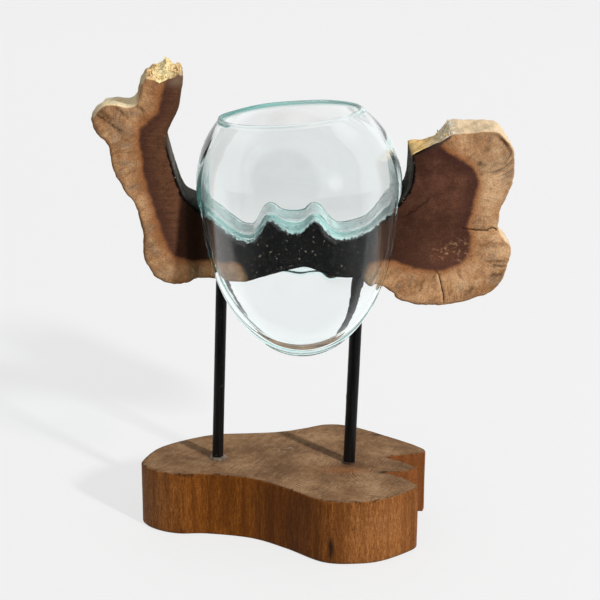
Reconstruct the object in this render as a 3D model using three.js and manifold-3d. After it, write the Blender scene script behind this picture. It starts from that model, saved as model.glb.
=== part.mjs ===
// A hand-blown glass vase that hangs astride a slab of root wood.
// Two black rods carry the slab above a wooden base.
// Millimetres, +Z up. The origin is on the base's underside, midway between the rods. The front faces -Y.
import * as THREE from "three";
import { mergeVertices } from "three/addons/utils/BufferGeometryUtils.js";
import Module from "manifold-3d";

const wasm = await Module();
wasm.setup();

// Driving dimensions of the base
const BASE_LENGTH = 219;
const BASE_DEPTH = 155;
const BASE_THICKNESS = 50;
const BASE_EDGE_EASE = 1.5;

// Driving dimensions of the rods and of the glue that beds them
const ROD_DIAMETER = 8;
const ROD_SPACING = 102;
const ROD_SKEW = 8; // how much further back the left rod stands than the right one
const ROD_LEAN = 2.1; // degrees, to the right
const ROD_REACH = 151; // from the top of the base to the seat, where the slab's underside meets the rods
const FOOT_SOCKET_DEPTH = 30;
const LEFT_HEAD_SOCKET_DEPTH = 18;
const RIGHT_HEAD_SOCKET_DEPTH = 12;
const GLUE_LINE = 1.2; // how much wider the drilled socket is than the rod, on the radius
const LEFT_GLUE_BEAD_RADIUS = 8;
const RIGHT_GLUE_BEAD_RADIUS = 6;
const GLUE_BEAD_HEIGHT = 1.6;
const CLEARANCE = 0.3;

// Driving dimensions of the slab of root wood
const SLAB_THICKNESS = 45;
const SLAB_EDGE_EASE = 2;
const LEFT_WING_REACH = 71; // outwards from the vase's belly
const LEFT_WING_RISE = 158; // above the seat
const LEFT_WING_SLANT = 4; // how much further out the left wing stands at the back
const RIGHT_WING_REACH = 79;
const RIGHT_WING_RISE = 111;
const SADDLE_PEAK = 46; // the wood's two peaks under the vase, above the seat

// Driving dimensions of the glass vase
const VASE_OFFSET = 12.5; // the vase's axis, to the right of the middle of the rods
const BELLY_RADIUS = 75.5;
const BELLY_HEIGHT = 68; // above the seat
const RIM_RADIUS = 52.5;
const RIM_HEIGHT = 119; // above the seat
const RIM_SHIFT = -6; // the mouth stands off the belly's axis
const RIM_TILT = 4.4; // degrees, the left side lower
const FRONT_LOBE_DROP = 48; // the front bag's lowest point, below the seat
const REAR_LOBE_DROP = 17;
const LOBE_SHIFT = 5.5; // the lobes hang to the right, their left side drawn in
const LOBE_FULLNESS = 0.72; // 1 is an ellipse, less is a rounder bag
const GLASS_WALL = 3.5;
const FOLD_WALL = 4.5; // the glass is thicker where it lies over the wood
const LOBE_FLOOR = 7; // and thickest at the bottom of the lobes
const FOLD_EDGE_ROUND = 3;
const SADDLE_GAP = 0.4;
const FOLD_SIDE_GAP = 1;
const CONTACT_INSET = 3; // how far the wood dents the belly where the fold runs out

// Outlines drawn by eye. The base's is in shares of its length and depth, seen from above.
const BASE_BACK_EDGE_SHARES = [
  [-0.498, 0.0], [-0.434, 0.181], [-0.27, 0.329], [-0.03, 0.374], [0.064, 0.42],
  [0.164, 0.482], [0.27, 0.439], [0.425, 0.258], [0.484, 0.168], [0.5, 0.123], [0.493, 0.084],
];
const BASE_REAR_SPLIT_SHARES = [[0.397, 0.052], [0.365, 0.032], [0.411, -0.013], [0.463, -0.1]];
const BASE_FRONT_SPLIT_SHARES = [[0.43, -0.142], [0.349, -0.158], [0.368, -0.174], [0.411, -0.219]];
const BASE_FRONT_EDGE_SHARES = [
  [0.454, -0.3], [0.446, -0.355], [0.347, -0.468], [0.256, -0.506], [0.137, -0.49], [0.009, -0.342],
  [-0.11, -0.232], [-0.265, -0.181], [-0.361, -0.181], [-0.43, -0.148], [-0.484, -0.084],
];

// The wings' outlines are in shares of each wing's reach and rise,
// outwards from the belly and upwards from the seat.
const LEFT_WING_INSIDE_SHARES = [
  [0.085, 0.401], [0.141, 0.459], [0.225, 0.592], [0.254, 0.688],
  [0.141, 0.803], [0.099, 0.892], [0.085, 0.936],
];
const LEFT_WING_BREAK_SHARES = [
  [0.13, 0.968], [0.19, 0.955], [0.24, 1.0], [0.29, 0.968], [0.37, 0.968], [0.45, 0.952],
];
const LEFT_WING_OUTSIDE_SHARES = [
  [0.507, 0.911], [0.54, 0.847], [0.577, 0.818], [0.66, 0.813], [0.78, 0.822], [0.9, 0.815],
  [1.0, 0.758], [0.972, 0.7], [0.873, 0.643], [0.8, 0.51], [0.634, 0.376], [0.57, 0.3],
  [0.521, 0.204], [0.521, 0.115], [0.47, 0.045], [0.38, 0.0], [0.225, -0.019], [0.085, -0.01],
  [-0.028, 0.012],
];
const UNDERSIDE_SHARES = [
  [-0.79, 0.0], [-0.62, -0.02], [-0.497, 0.0], [-0.285, 0.087], [-0.06, 0.18], [0.05, 0.217],
  [0.17, 0.17], [0.35, 0.087], [0.563, 0.065], [0.7, -0.1], [0.815, -0.09],
];
const RIGHT_WING_OUTSIDE_SHARES = [
  [-0.063, -0.081], [-0.025, -0.126], [0.076, -0.153], [0.228, -0.171], [0.544, -0.153],
  [0.684, -0.126], [0.81, -0.081], [0.9, -0.018], [0.987, 0.135], [0.995, 0.234], [0.937, 0.28],
  [0.886, 0.342], [0.873, 0.414], [0.9, 0.505], [0.975, 0.658], [1.0, 0.77], [0.975, 0.872],
  [0.87, 0.97], [0.76, 1.0], [0.5, 0.985],
];
const RIGHT_WING_NOTCH_SHARES = [[0.43, 0.977], [0.316, 0.901], [0.19, 0.865], [0.063, 0.838]];
const RIGHT_WING_INSIDE_SHARES = [[0.063, 0.766], [0.055, 0.694], [0.045, 0.64]];

// The wood's upper edge under the vase, in shares of the belly's radius and of the peaks' height.
const SADDLE_EDGE_SHARES = [
  [-1.02, 1.272], [-0.96, 1.185], [-0.828, 1.022], [-0.722, 0.859], [-0.603, 0.717], [-0.51, 0.674],
  [-0.417, 0.69], [-0.338, 0.87], [-0.285, 0.99], [-0.232, 0.99], [-0.166, 0.891], [-0.086, 0.826],
  [-0.007, 0.826], [0.06, 0.891], [0.126, 1.0], [0.179, 1.0], [0.245, 0.87], [0.338, 0.739],
  [0.43, 0.707], [0.55, 0.75], [0.682, 0.848], [0.815, 1.043], [0.881, 1.16], [0.934, 1.27],
  [0.98, 1.35], [1.03, 1.44],
];

// How finely curves are cut into facets
const SPLINE_STEPS = 4; // facets between two points of an outline
const ROUND_SIDES = 20;
const RIM_STEPS = 5; // rings of facets from the rim down to the belly
const LOBE_STEPS = 5; // rings down the outside of a lobe, and up its inside
const END_COLUMNS = [0, 7, 13, 16, 17.6, 19]; // degrees from the saddle's ends
const MIDDLE_COLUMNS = 15; // columns of facets from there to the middle of the front
const LIP_STEPS = 3;

const SEAT_HEIGHT = BASE_THICKNESS + ROD_REACH;
const ROD_RADIUS = ROD_DIAMETER / 2;
const SOCKET_RADIUS = ROD_RADIUS + GLUE_LINE;

// A closed geometry with shared corners and no flattened triangles
function weld(geometry) {
  const bare = new THREE.BufferGeometry();
  bare.setAttribute("position", geometry.getAttribute("position"));
  bare.setIndex(geometry.getIndex());
  const merged = mergeVertices(bare, 1e-4);
  const corners = merged.getIndex().array;
  const kept = [];
  for (let i = 0; i < corners.length; i += 3) {
    const [a, b, c] = corners.slice(i, i + 3);
    if (a !== b && b !== c && c !== a) kept.push(a, b, c);
  }
  merged.setIndex(kept);
  return merged;
}

function toSolid(geometry) {
  const welded = weld(geometry);
  return new wasm.Manifold(
    new wasm.Mesh({
      numProp: 3,
      vertProperties: new Float32Array(welded.getAttribute("position").array),
      triVerts: new Uint32Array(welded.getIndex().array),
    }),
  );
}

function toGeometry(solid) {
  const mesh = solid.getMesh();
  const geometry = new THREE.BufferGeometry();
  geometry.setAttribute("position", new THREE.BufferAttribute(mesh.vertProperties, mesh.numProp));
  geometry.setIndex(new THREE.BufferAttribute(mesh.triVerts, 1));
  return geometry;
}

function drill(geometry, tools) {
  const drilled = tools.reduce((solid, tool) => solid.subtract(toSolid(tool)), toSolid(geometry));
  return toGeometry(drilled);
}

// Points along a smooth curve through the given points
function smoothThrough(points) {
  const curve = new THREE.SplineCurve(points);
  return curve.getPoints((points.length - 1) * SPLINE_STEPS);
}

// A flat outline as a plate with eased edges, from z = 0 up to its thickness
function easedPlate(outline, thickness, ease) {
  const plate = new THREE.ExtrudeGeometry(new THREE.Shape(outline), {
    depth: thickness - 2 * ease,
    bevelThickness: ease,
    bevelSize: ease,
    bevelOffset: -ease,
    bevelSegments: 1,
  });
  return plate.translate(0, 0, ease);
}

// The rods, each with the depth of its socket in the slab and the size of its glue bead
const RODS = [
  { name: "left", side: -1, headDepth: LEFT_HEAD_SOCKET_DEPTH, beadRadius: LEFT_GLUE_BEAD_RADIUS },
  { name: "right", side: 1, headDepth: RIGHT_HEAD_SOCKET_DEPTH, beadRadius: RIGHT_GLUE_BEAD_RADIUS },
];
const leanAngle = THREE.MathUtils.degToRad(ROD_LEAN);

// A rod's own frame: its origin is where the rod leaves the base, and its Z runs up the leaning rod.
function rodFrame(rod) {
  const frame = new THREE.Group();
  frame.position.set((rod.side * ROD_SPACING) / 2, (-rod.side * ROD_SKEW) / 2, BASE_THICKNESS);
  frame.rotation.y = leanAngle;
  frame.updateMatrixWorld(true);
  return frame;
}

// A round bar along Z between two heights of a rod's frame
function uprightBar(radius, bottom, top) {
  const bar = new THREE.CylinderGeometry(radius, radius, top - bottom, ROUND_SIDES);
  return bar.rotateX(Math.PI / 2).translate(0, 0, (top + bottom) / 2);
}

// A ring about Z, from the points of its section as [radius, height], anticlockwise
function turnedRing(section) {
  const closed = [...section, section[0]].map(([radius, height]) => new THREE.Vector2(radius, height));
  return new THREE.LatheGeometry(closed, ROUND_SIDES).rotateX(Math.PI / 2);
}

// The drilled sockets in the base and in the slab, as cutting tools in the part's frame
function socketTool(rod, bottom, top) {
  return uprightBar(SOCKET_RADIUS, bottom, top).applyMatrix4(rodFrame(rod).matrixWorld);
}
const footTools = RODS.map((rod) => socketTool(rod, -FOOT_SOCKET_DEPTH, BASE_THICKNESS));
const headTools = RODS.map((rod) => socketTool(rod, ROD_REACH / 2, ROD_REACH + rod.headDepth));

// The base: a slice of a trunk with sawn faces, its natural outline sanded smooth, split twice on the right
function baseGeometry() {
  const placed = (points) => points.map(([x, y]) => new THREE.Vector2(x * BASE_LENGTH, y * BASE_DEPTH));
  const front = placed(BASE_FRONT_EDGE_SHARES);
  const back = placed(BASE_BACK_EDGE_SHARES);
  const outline = [
    ...smoothThrough([...front, ...back]),
    ...placed(BASE_REAR_SPLIT_SHARES),
    ...placed(BASE_FRONT_SPLIT_SHARES),
  ];
  return drill(easedPlate(outline.reverse(), BASE_THICKNESS, BASE_EDGE_EASE), footTools);
}

// The vase's and the slab's shared frame: the vase's axis, at the seat
const axisPoint = (x, z) => new THREE.Vector2(x, z);
const leftWing = ([out, up]) => axisPoint(-BELLY_RADIUS - out * LEFT_WING_REACH, up * LEFT_WING_RISE);
const rightWing = ([out, up]) => axisPoint(BELLY_RADIUS + out * RIGHT_WING_REACH, up * RIGHT_WING_RISE);
const saddlePoint = ([along, up]) => axisPoint(along * BELLY_RADIUS, up * SADDLE_PEAK);
const saddleCurve = new THREE.SplineCurve(SADDLE_EDGE_SHARES.map(saddlePoint));
const saddleSamples = saddleCurve.getPoints(SADDLE_EDGE_SHARES.length * 12);

// The height of the wood's upper edge at x, lifted to keep a gap of the given width square to the edge
function saddleHeight(x, gap = 0) {
  const next = saddleSamples.findIndex((point, i) => i > 0 && point.x >= x);
  const index = next < 0 ? saddleSamples.length - 1 : next;
  const [from, to] = [saddleSamples[index - 1], saddleSamples[index]];
  const slope = (to.y - from.y) / (to.x - from.x);
  return from.y + slope * (x - from.x) + gap * Math.hypot(1, slope);
}

// Angles of the vase's columns of facets about its axis, a quarter first:
// close together at the saddle's ends, then even along the saddle
const endAngles = END_COLUMNS.map(THREE.MathUtils.degToRad);
const lastEndCosine = Math.cos(endAngles.at(-1));
const middleAngles = Array.from({ length: MIDDLE_COLUMNS }, (_, i) =>
  Math.acos(lastEndCosine * (1 - (i + 1) / MIDDLE_COLUMNS)),
);
const quarter = [...endAngles, ...middleAngles];
const half = [...quarter, ...quarter.slice(0, -1).reverse().map((angle) => Math.PI - angle)];
const COLUMNS = [...half, ...half.slice(1, -1).reverse().map((angle) => 2 * Math.PI - angle)];

// The left wing leans outwards from the plate's front face, at z = SLAB_THICKNESS, to its back face
function slantLeftWing(plate) {
  const position = plate.getAttribute("position");
  for (let i = 0; i < position.count; i++) {
    const outside = Math.max(0, -BELLY_RADIUS - position.getX(i));
    const share = Math.min(1, outside / LEFT_WING_SLANT) * (1 - position.getZ(i) / SLAB_THICKNESS);
    position.setX(i, position.getX(i) - LEFT_WING_SLANT * share);
  }
  return plate;
}

// The slab: its valley follows the saddle at the same stations as the glass that lies on it.
function slabGeometry() {
  const contactRadius = BELLY_RADIUS - CONTACT_INSET;
  const stations = half.map((angle) => -contactRadius * Math.cos(angle));
  const saddle = stations.map((x) => axisPoint(x, saddleHeight(x)));
  const saddleStart = saddleCurve.points[0];
  const saddleEnd = saddleCurve.points.at(-1);
  const inside = smoothThrough([saddleStart, ...LEFT_WING_INSIDE_SHARES.map(leftWing)]).reverse();
  const outside = smoothThrough(LEFT_WING_OUTSIDE_SHARES.map(leftWing)).reverse();
  const under = smoothThrough(UNDERSIDE_SHARES.map(saddlePoint)).reverse();
  const rightOutside = smoothThrough(RIGHT_WING_OUTSIDE_SHARES.map(rightWing)).reverse();
  const rightInside = smoothThrough([...RIGHT_WING_INSIDE_SHARES.map(rightWing), saddleEnd]).reverse();
  const outline = [
    ...inside,
    ...saddle,
    ...rightInside,
    ...RIGHT_WING_NOTCH_SHARES.map(rightWing).reverse(),
    ...rightOutside,
    ...under,
    ...outside,
    ...LEFT_WING_BREAK_SHARES.map(leftWing).reverse(),
  ];
  const slab = slantLeftWing(easedPlate(outline.reverse(), SLAB_THICKNESS, SLAB_EDGE_EASE));
  slab.rotateX(Math.PI / 2).translate(VASE_OFFSET, SLAB_THICKNESS / 2, SEAT_HEIGHT);
  return drill(slab, headTools);
}

// One skin of the vase, as rings of points from the rim down the belly, round the two lobes
// and up over the saddle. The outer and the inner skin are the same form with other sizes.
function vaseSkin({ rim, belly, contact, foldHalf, foldRound, saddleGap, frontDrop, rearDrop }) {
  const rings = [];
  const rimAngle = Math.acos(rim / belly);
  const shoulder = (RIM_HEIGHT - BELLY_HEIGHT) / Math.sin(rimAngle);
  for (let i = 0; i <= RIM_STEPS; i++) {
    const angle = rimAngle * (1 - i / RIM_STEPS);
    const share = Math.sin(angle) / Math.sin(rimAngle);
    const radius = belly * Math.cos(angle);
    const tilt = Math.tan(THREE.MathUtils.degToRad(RIM_TILT * share));
    rings.push(
      COLUMNS.map((turn) => {
        const x = radius * Math.cos(turn);
        const height = BELLY_HEIGHT + shoulder * Math.sin(angle) + x * tilt;
        return new THREE.Vector3(x + RIM_SHIFT * share * share, radius * Math.sin(turn), height);
      }),
    );
  }
  const columns = COLUMNS.map((turn) =>
    lobeColumn(turn, { belly, contact, foldHalf, foldRound, saddleGap, frontDrop, rearDrop }),
  );
  columns[0].forEach((_, i) => rings.push(columns.map((column) => column[i])));
  return rings;
}

const bulge = (value) => Math.max(0, value) ** LOBE_FULLNESS;

// One column of a skin below the belly: down the outside of a lobe, up its inside along the wood,
// over the wood's edge and on to the middle of the saddle.
// Within the wood's thickness there is no lobe, and the glass lies on the wood.
function lobeColumn(turn, { belly, contact, foldHalf, foldRound, saddleGap, frontDrop, rearDrop }) {
  const start = new THREE.Vector3(belly * Math.cos(turn), belly * Math.sin(turn), BELLY_HEIGHT);
  const x = contact * Math.cos(turn);
  const wallY = THREE.MathUtils.clamp(contact * Math.sin(turn), -foldHalf, foldHalf);
  const flat = foldHalf - foldRound;
  const onSaddle = (px, y) => {
    const past = Math.min(1, Math.max(0, (Math.abs(y) - flat) / foldRound));
    return saddleHeight(px, saddleGap) - foldRound * (1 - Math.sqrt(1 - past * past));
  };
  const wallTop = onSaddle(x, wallY);
  const endCosine = Math.sqrt(1 - (foldHalf / contact) ** 2);
  const lobeShare = Math.sqrt(Math.max(0, 1 - (Math.cos(turn) / endCosine) ** 2));
  const leftEnd = onSaddle(-contact * endCosine, foldHalf);
  const rightEnd = onSaddle(contact * endCosine, foldHalf);
  const end = THREE.MathUtils.lerp(leftEnd, rightEnd, (1 + Math.cos(turn) / endCosine) / 2);
  const drop = Math.sin(turn) < 0 ? frontDrop : rearDrop;
  const lowest = lobeShare > 0 ? end - (end + drop) * lobeShare : wallTop;
  const shift = LOBE_SHIFT * Math.sqrt(lobeShare) * ((1 - Math.cos(turn)) / 2);
  const middle = new THREE.Vector3((start.x + x) / 2 + shift, (start.y + wallY) / 2, lowest);

  const points = [];
  const add = (px, py, pz) => {
    const overWood = Math.abs(py) < foldHalf;
    points.push(new THREE.Vector3(px, py, overWood ? Math.max(pz, onSaddle(px, py)) : pz));
  };
  for (let i = 1; i <= LOBE_STEPS; i++) {
    const angle = (Math.PI / 2) * (i / LOBE_STEPS);
    const across = 1 - bulge(Math.cos(angle));
    add(
      THREE.MathUtils.lerp(start.x, middle.x, across),
      THREE.MathUtils.lerp(start.y, middle.y, across),
      THREE.MathUtils.lerp(start.z, lowest, bulge(Math.sin(angle))),
    );
  }
  for (let i = 1; i <= LOBE_STEPS; i++) {
    const angle = (Math.PI / 2) * (i / LOBE_STEPS);
    const across = bulge(Math.sin(angle));
    add(
      THREE.MathUtils.lerp(middle.x, x, across),
      THREE.MathUtils.lerp(middle.y, wallY, across),
      THREE.MathUtils.lerp(lowest, wallTop, 1 - bulge(Math.cos(angle))),
    );
  }
  for (const share of [0.985, 0.94, flat / foldHalf, 0.45, 0]) {
    add(x, wallY * share, onSaddle(x, wallY * share));
  }
  return points;
}

// The vase: an outer and an inner skin joined by a rounded lip
function vaseGeometry() {
  const outer = vaseSkin({
    rim: RIM_RADIUS,
    belly: BELLY_RADIUS,
    contact: BELLY_RADIUS - CONTACT_INSET,
    foldHalf: SLAB_THICKNESS / 2 + FOLD_SIDE_GAP,
    foldRound: FOLD_EDGE_ROUND,
    saddleGap: SADDLE_GAP,
    frontDrop: FRONT_LOBE_DROP,
    rearDrop: REAR_LOBE_DROP,
  });
  const inner = vaseSkin({
    rim: RIM_RADIUS - GLASS_WALL,
    belly: BELLY_RADIUS - GLASS_WALL,
    contact: BELLY_RADIUS - GLASS_WALL - CONTACT_INSET,
    foldHalf: SLAB_THICKNESS / 2 + FOLD_SIDE_GAP + FOLD_WALL,
    foldRound: FOLD_EDGE_ROUND + FOLD_WALL,
    saddleGap: SADDLE_GAP + FOLD_WALL,
    frontDrop: FRONT_LOBE_DROP - LOBE_FLOOR,
    rearDrop: REAR_LOBE_DROP - LOBE_FLOOR,
  });
  const lip = Array.from({ length: LIP_STEPS }, (_, i) => {
    const angle = (Math.PI * (i + 1)) / (LIP_STEPS + 1);
    return COLUMNS.map((_, k) => {
      const point = inner[0][k].clone().lerp(outer[0][k], (1 + Math.cos(angle)) / 2);
      return point.setZ(point.z + (GLASS_WALL / 2) * Math.sin(angle));
    });
  });
  const rings = [...outer.reverse(), ...lip, ...inner];
  const geometry = new THREE.BufferGeometry().setFromPoints(rings.flat());
  const count = COLUMNS.length;
  const corners = [];
  for (let ring = 0; ring + 1 < rings.length; ring++) {
    for (let k = 0; k < count; k++) {
      const [here, next] = [ring * count + k, ring * count + ((k + 1) % count)];
      corners.push(here, next, next + count, here, next + count, here + count);
    }
  }
  geometry.setIndex(corners);
  return toGeometry(toSolid(geometry)).translate(VASE_OFFSET, 0, SEAT_HEIGHT);
}

// Materials, in the colours of the photographed object
const finish = (color, roughness, metalness = 0) =>
  new THREE.MeshStandardMaterial({ color, roughness, metalness });
const BASE_WOOD = finish(0x8a5a33, 0.7);
const ROOT_WOOD = finish(0x7a5135, 0.8);
const BLACK_PAINT = finish(0x141414, 0.45, 0.3);
const DRIED_GLUE = finish(0xa8957c, 0.5);
const CLEAR_GLASS = new THREE.MeshStandardMaterial({
  color: 0xcfe9e4,
  roughness: 0.03,
  transparent: true,
  opacity: 0.35,
});

function piece(name, geometry, material) {
  const mesh = new THREE.Mesh(geometry, material);
  mesh.name = name;
  return mesh;
}

// A rod with the glue in its two sockets
function rodAssembly(rod) {
  const frame = rodFrame(rod);
  const inside = ROD_RADIUS + CLEARANCE;
  const outside = SOCKET_RADIUS - CLEARANCE;
  const foot = CLEARANCE - FOOT_SOCKET_DEPTH;
  const head = ROD_REACH + rod.headDepth - CLEARANCE;
  const rest = rod.beadRadius * Math.tan(leanAngle) + CLEARANCE;
  const footGlue = turnedRing([
    [inside, foot],
    [outside, foot],
    [outside, rest],
    [rod.beadRadius, rest],
    [(inside + rod.beadRadius) / 2, rest + 0.7 * GLUE_BEAD_HEIGHT],
    [inside, rest + GLUE_BEAD_HEIGHT],
  ]);
  const headGlue = turnedRing([
    [inside, ROD_REACH + CLEARANCE],
    [outside, ROD_REACH + CLEARANCE],
    [outside, head],
    [inside, head],
  ]);
  const bar = uprightBar(ROD_RADIUS, foot, head);
  frame.add(
    piece(`${rod.name}_rod`, bar, BLACK_PAINT),
    piece(`${rod.name}_foot_glue`, footGlue, DRIED_GLUE),
    piece(`${rod.name}_head_glue`, headGlue, DRIED_GLUE),
  );
  return frame;
}

const hangingVase = new THREE.Group();
hangingVase.add(
  piece("base_slab", baseGeometry(), BASE_WOOD),
  ...RODS.map(rodAssembly),
  piece("root_wood_slab", slabGeometry(), ROOT_WOOD),
  piece("glass_vase", vaseGeometry(), CLEAR_GLASS),
);

export default hangingVase;
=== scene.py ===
import math

import bmesh
import bpy
import numpy as np
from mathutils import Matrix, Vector
from mathutils.geometry import delaunay_2d_cdt


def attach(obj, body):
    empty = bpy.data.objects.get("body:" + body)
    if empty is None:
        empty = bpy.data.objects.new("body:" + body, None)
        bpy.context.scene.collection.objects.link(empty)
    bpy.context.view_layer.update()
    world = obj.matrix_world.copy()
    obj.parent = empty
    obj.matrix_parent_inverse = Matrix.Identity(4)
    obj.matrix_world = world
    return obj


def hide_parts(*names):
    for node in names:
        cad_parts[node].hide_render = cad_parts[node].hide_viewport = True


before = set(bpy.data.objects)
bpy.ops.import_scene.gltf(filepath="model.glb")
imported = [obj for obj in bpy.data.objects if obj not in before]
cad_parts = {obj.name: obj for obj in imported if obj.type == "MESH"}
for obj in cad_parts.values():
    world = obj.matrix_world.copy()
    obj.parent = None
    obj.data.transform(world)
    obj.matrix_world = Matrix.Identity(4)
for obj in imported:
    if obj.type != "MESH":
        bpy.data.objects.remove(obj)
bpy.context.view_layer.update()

# Camera: it stands a metre in front of the object, a little above it, and looks down by 17 degrees.
# The picture is square, and the long lens keeps upright edges nearly parallel.
CAMERA_PLACE = (0.0131, -1.0776, 0.509)
CAMERA_TILT = math.radians(73)
SENSOR, LENS = 36, 90
scene = bpy.context.scene
camera = bpy.data.objects.new("camera", bpy.data.cameras.new("camera"))
camera.data.sensor_width = SENSOR
camera.data.lens = LENS
camera.location = CAMERA_PLACE
camera.rotation_euler = (CAMERA_TILT, 0, 0)
scene.collection.objects.link(camera)
scene.camera = camera

# The studio: the object stands on a wide sheet of white paper under an even white sky.
# One small lamp at the front right throws the rods' shadows to the back left.
# Polished glass mirrors bright walls, a soft gleam at the right, and the dim room behind the camera.
WHITE = (1, 1, 1, 1)
SKY = 0.38
SKY_SEEN = 0.95
PAPER = 0.22
PAPER_GLOW = 0.69
PAPER_CORNERS = [(-4000, -4000, -0.2), (4000, -4000, -0.2), (4000, 6000, -0.2), (-4000, 6000, -0.2)]
WALLS = 1.0
ROOM = 0.02
ROOM_SIDE = (-0.28, -0.92, 0.27)
GLEAM = 1.3
GLEAM_SIDE = (0.65, -0.73, 0.21)
MOST_SKINS = 6.5  # a mirror image is drawn through fewer skins of glass than this
LAMP_WATTS = 350
LAMP_DIRECTION = (0.60, -0.66, 0.45)
LAMP_AIM = (0, 0, 0.2)
LAMP_DISTANCE = 6
LAMP_SIZE = (0.36, 0.55)
scene.view_settings.view_transform = "Standard"
scene.cycles.max_bounces = 24
scene.cycles.transmission_bounces = 24
scene.cycles.glossy_bounces = 16


# Nodes always go into the tree at hand: each material, group or world below first puts its own into tree.
def fill(made, sockets):
    """Fills a node's sockets: another node's socket is joined, any other value is set."""
    for name, value in sockets.items():
        if isinstance(value, bpy.types.NodeSocket):
            tree.links.new(value, made.inputs[name])
        else:
            made.inputs[name].default_value = value


def node(kind, sockets=None, family="ShaderNode", **settings):
    """Adds a node with its settings and sockets filled, and gives its outputs."""
    made = tree.nodes.new(family + kind)
    for name, value in settings.items():
        setattr(made, name, value)
    fill(made, sockets or {})
    return made.outputs


def calc(operation, *values):
    return node("Math", dict(enumerate(values)), operation=operation)[0]


def times(first, *others):
    for value in others:
        first = calc("MULTIPLY", first, value)
    return first


def strongest(first, *others):
    for value in others:
        first = calc("MAXIMUM", first, value)
    return first


def blend(factor, a, b):
    return node("Mix", {"Factor": factor, "A": a, "B": b})[0]


def ramp(value, low, high, to_low=0.0, to_high=1.0):
    """A soft step of a value from one level to another."""
    sockets = {"Value": value, "From Min": low, "From Max": high, "To Min": to_low, "To Max": to_high}
    return node("MapRange", sockets, interpolation_type="SMOOTHSTEP")[0]


def axis(place, letter):
    return node("SeparateXYZ", {0: place})[letter]


def ray_kinds():
    """Masks of the rays that look, of those that glass mirrored once, and of those that came through it."""
    rays = node("LightPath")
    seen = strongest(rays["Is Camera Ray"], rays["Is Transmission Ray"], rays["Is Glossy Ray"])
    mirrored_once = calc("COMPARE", rays["Glossy Depth"], 1)
    mirrored = times(mirrored_once, calc("LESS_THAN", rays["Transmission Depth"], MOST_SKINS))
    return seen, mirrored, rays["Is Transmission Ray"]


def towards(side):
    """How nearly a ray of the sky points to a side."""
    sockets = {0: node("TexCoord")["Generated"], 1: side}
    return node("VectorMath", sockets, operation="DOT_PRODUCT")["Value"]


def new_material(name):
    """An empty material, its tree and its Principled shader."""
    material = bpy.data.materials.new(name)
    material.use_nodes = True
    return material, material.node_tree, material.node_tree.nodes["Principled BSDF"]


def new_piece(name, points_mm, faces, material):
    """A mesh piece from points in millimetres."""
    mesh = bpy.data.meshes.new(name)
    mesh.from_pydata((np.asarray(points_mm) * 0.001).tolist(), [], np.asarray(faces).tolist())
    mesh.shade_smooth()
    mesh.materials.append(material)
    piece = bpy.data.objects.new(name, mesh)
    scene.collection.objects.link(piece)
    return piece


sky = bpy.data.worlds.new("white sky")
scene.world = sky
sky.use_nodes = True
tree = sky.node_tree
seen, mirrored, _ = ray_kinds()
walls = ramp(towards(ROOM_SIDE), 0.72, 0.84, WALLS, ROOM)
walls = calc("ADD", walls, ramp(towards(GLEAM_SIDE), 0.978, 0.999, 0, GLEAM))
level = blend(mirrored, blend(seen, SKY, SKY_SEEN), walls)
fill(tree.nodes["Background"], {"Color": WHITE, "Strength": level})

paper, tree, shader = new_material("white paper")
seen, mirrored, through = ray_kinds()
place = node("TexCoord")["Object"]
sideways, back = axis(place, "X"), axis(place, "Y")
reach = calc("DIVIDE", calc("ABSOLUTE", sideways), calc("SUBTRACT", 0.12, back))
ahead = times(ramp(back, -0.09, -0.22), ramp(reach, 1.5, 0.35, 0.8, 1))
aside = times(ramp(sideways, 0.3, 0.6, 0, 0.35), ramp(back, 0.7, 0.3))
dim = times(strongest(ahead, aside), mirrored)
glow = times(seen, ramp(back, 0, 3, PAPER_GLOW, PAPER_GLOW + 0.02))
behind_glass = times(ramp(back, 1.2, 0.6, -0.1, 0.12), ramp(back, 1.9, 1.5))
glow = calc("ADD", glow, times(through, behind_glass))
fill(shader, {"Base Color": blend(dim, PAPER, ROOM), "Roughness": 0.7, "Specular IOR Level": 0.1})
fill(shader, {"Emission Color": WHITE, "Emission Strength": blend(dim, glow, 0.0)})
new_piece("paper_floor", PAPER_CORNERS, [(0, 1, 2, 3)], paper)

lamp = bpy.data.objects.new("lamp", bpy.data.lights.new("lamp", "AREA"))
lamp.data.shape = "RECTANGLE"
lamp.data.size, lamp.data.size_y = LAMP_SIZE
lamp.data.energy = LAMP_WATTS
towards_lamp = Vector(LAMP_DIRECTION).normalized()
lamp.location = Vector(LAMP_AIM) + towards_lamp * LAMP_DISTANCE
lamp.rotation_euler = towards_lamp.to_track_quat("Z", "Y").to_euler()
lamp.visible_glossy = False
lamp.visible_transmission = False
scene.collection.objects.link(lamp)

# The base: a slice of a small trunk, sawn across the grain and sanded round its natural outline.
# The sawn top is dusty grey-brown end grain, the waxed sides show orange-brown upright fibres,
# and two drying splits have opened wide at the right end.
BASE_SIZE = np.array([219, 155])
BASE_THICKNESS = 50
BASE_ARRIS = 1.4
BASE_SPACING = 1.9  # between the points of the mesh
BASE_FRONT_EDGE = [
    (0.459, -0.3), (0.449, -0.355), (0.347, -0.468), (0.256, -0.506), (0.137, -0.49), (0.009, -0.342),
    (-0.11, -0.232), (-0.265, -0.181), (-0.361, -0.181), (-0.43, -0.148), (-0.484, -0.084),
]
BASE_BACK_EDGE = [
    (-0.498, 0), (-0.434, 0.181), (-0.27, 0.329), (-0.03, 0.374), (0.064, 0.42), (0.164, 0.482),
    (0.27, 0.439), (0.43, 0.258), (0.493, 0.168), (0.511, 0.123), (0.504, 0.084),
]
BASE_SPLITS = [
    (0.504, 0.084), (0.402, 0.052), (0.365, 0.032), (0.413, -0.013), (0.474, -0.1),
    (0.434, -0.142), (0.349, -0.158), (0.369, -0.174), (0.414, -0.219), (0.459, -0.3),
]
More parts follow.
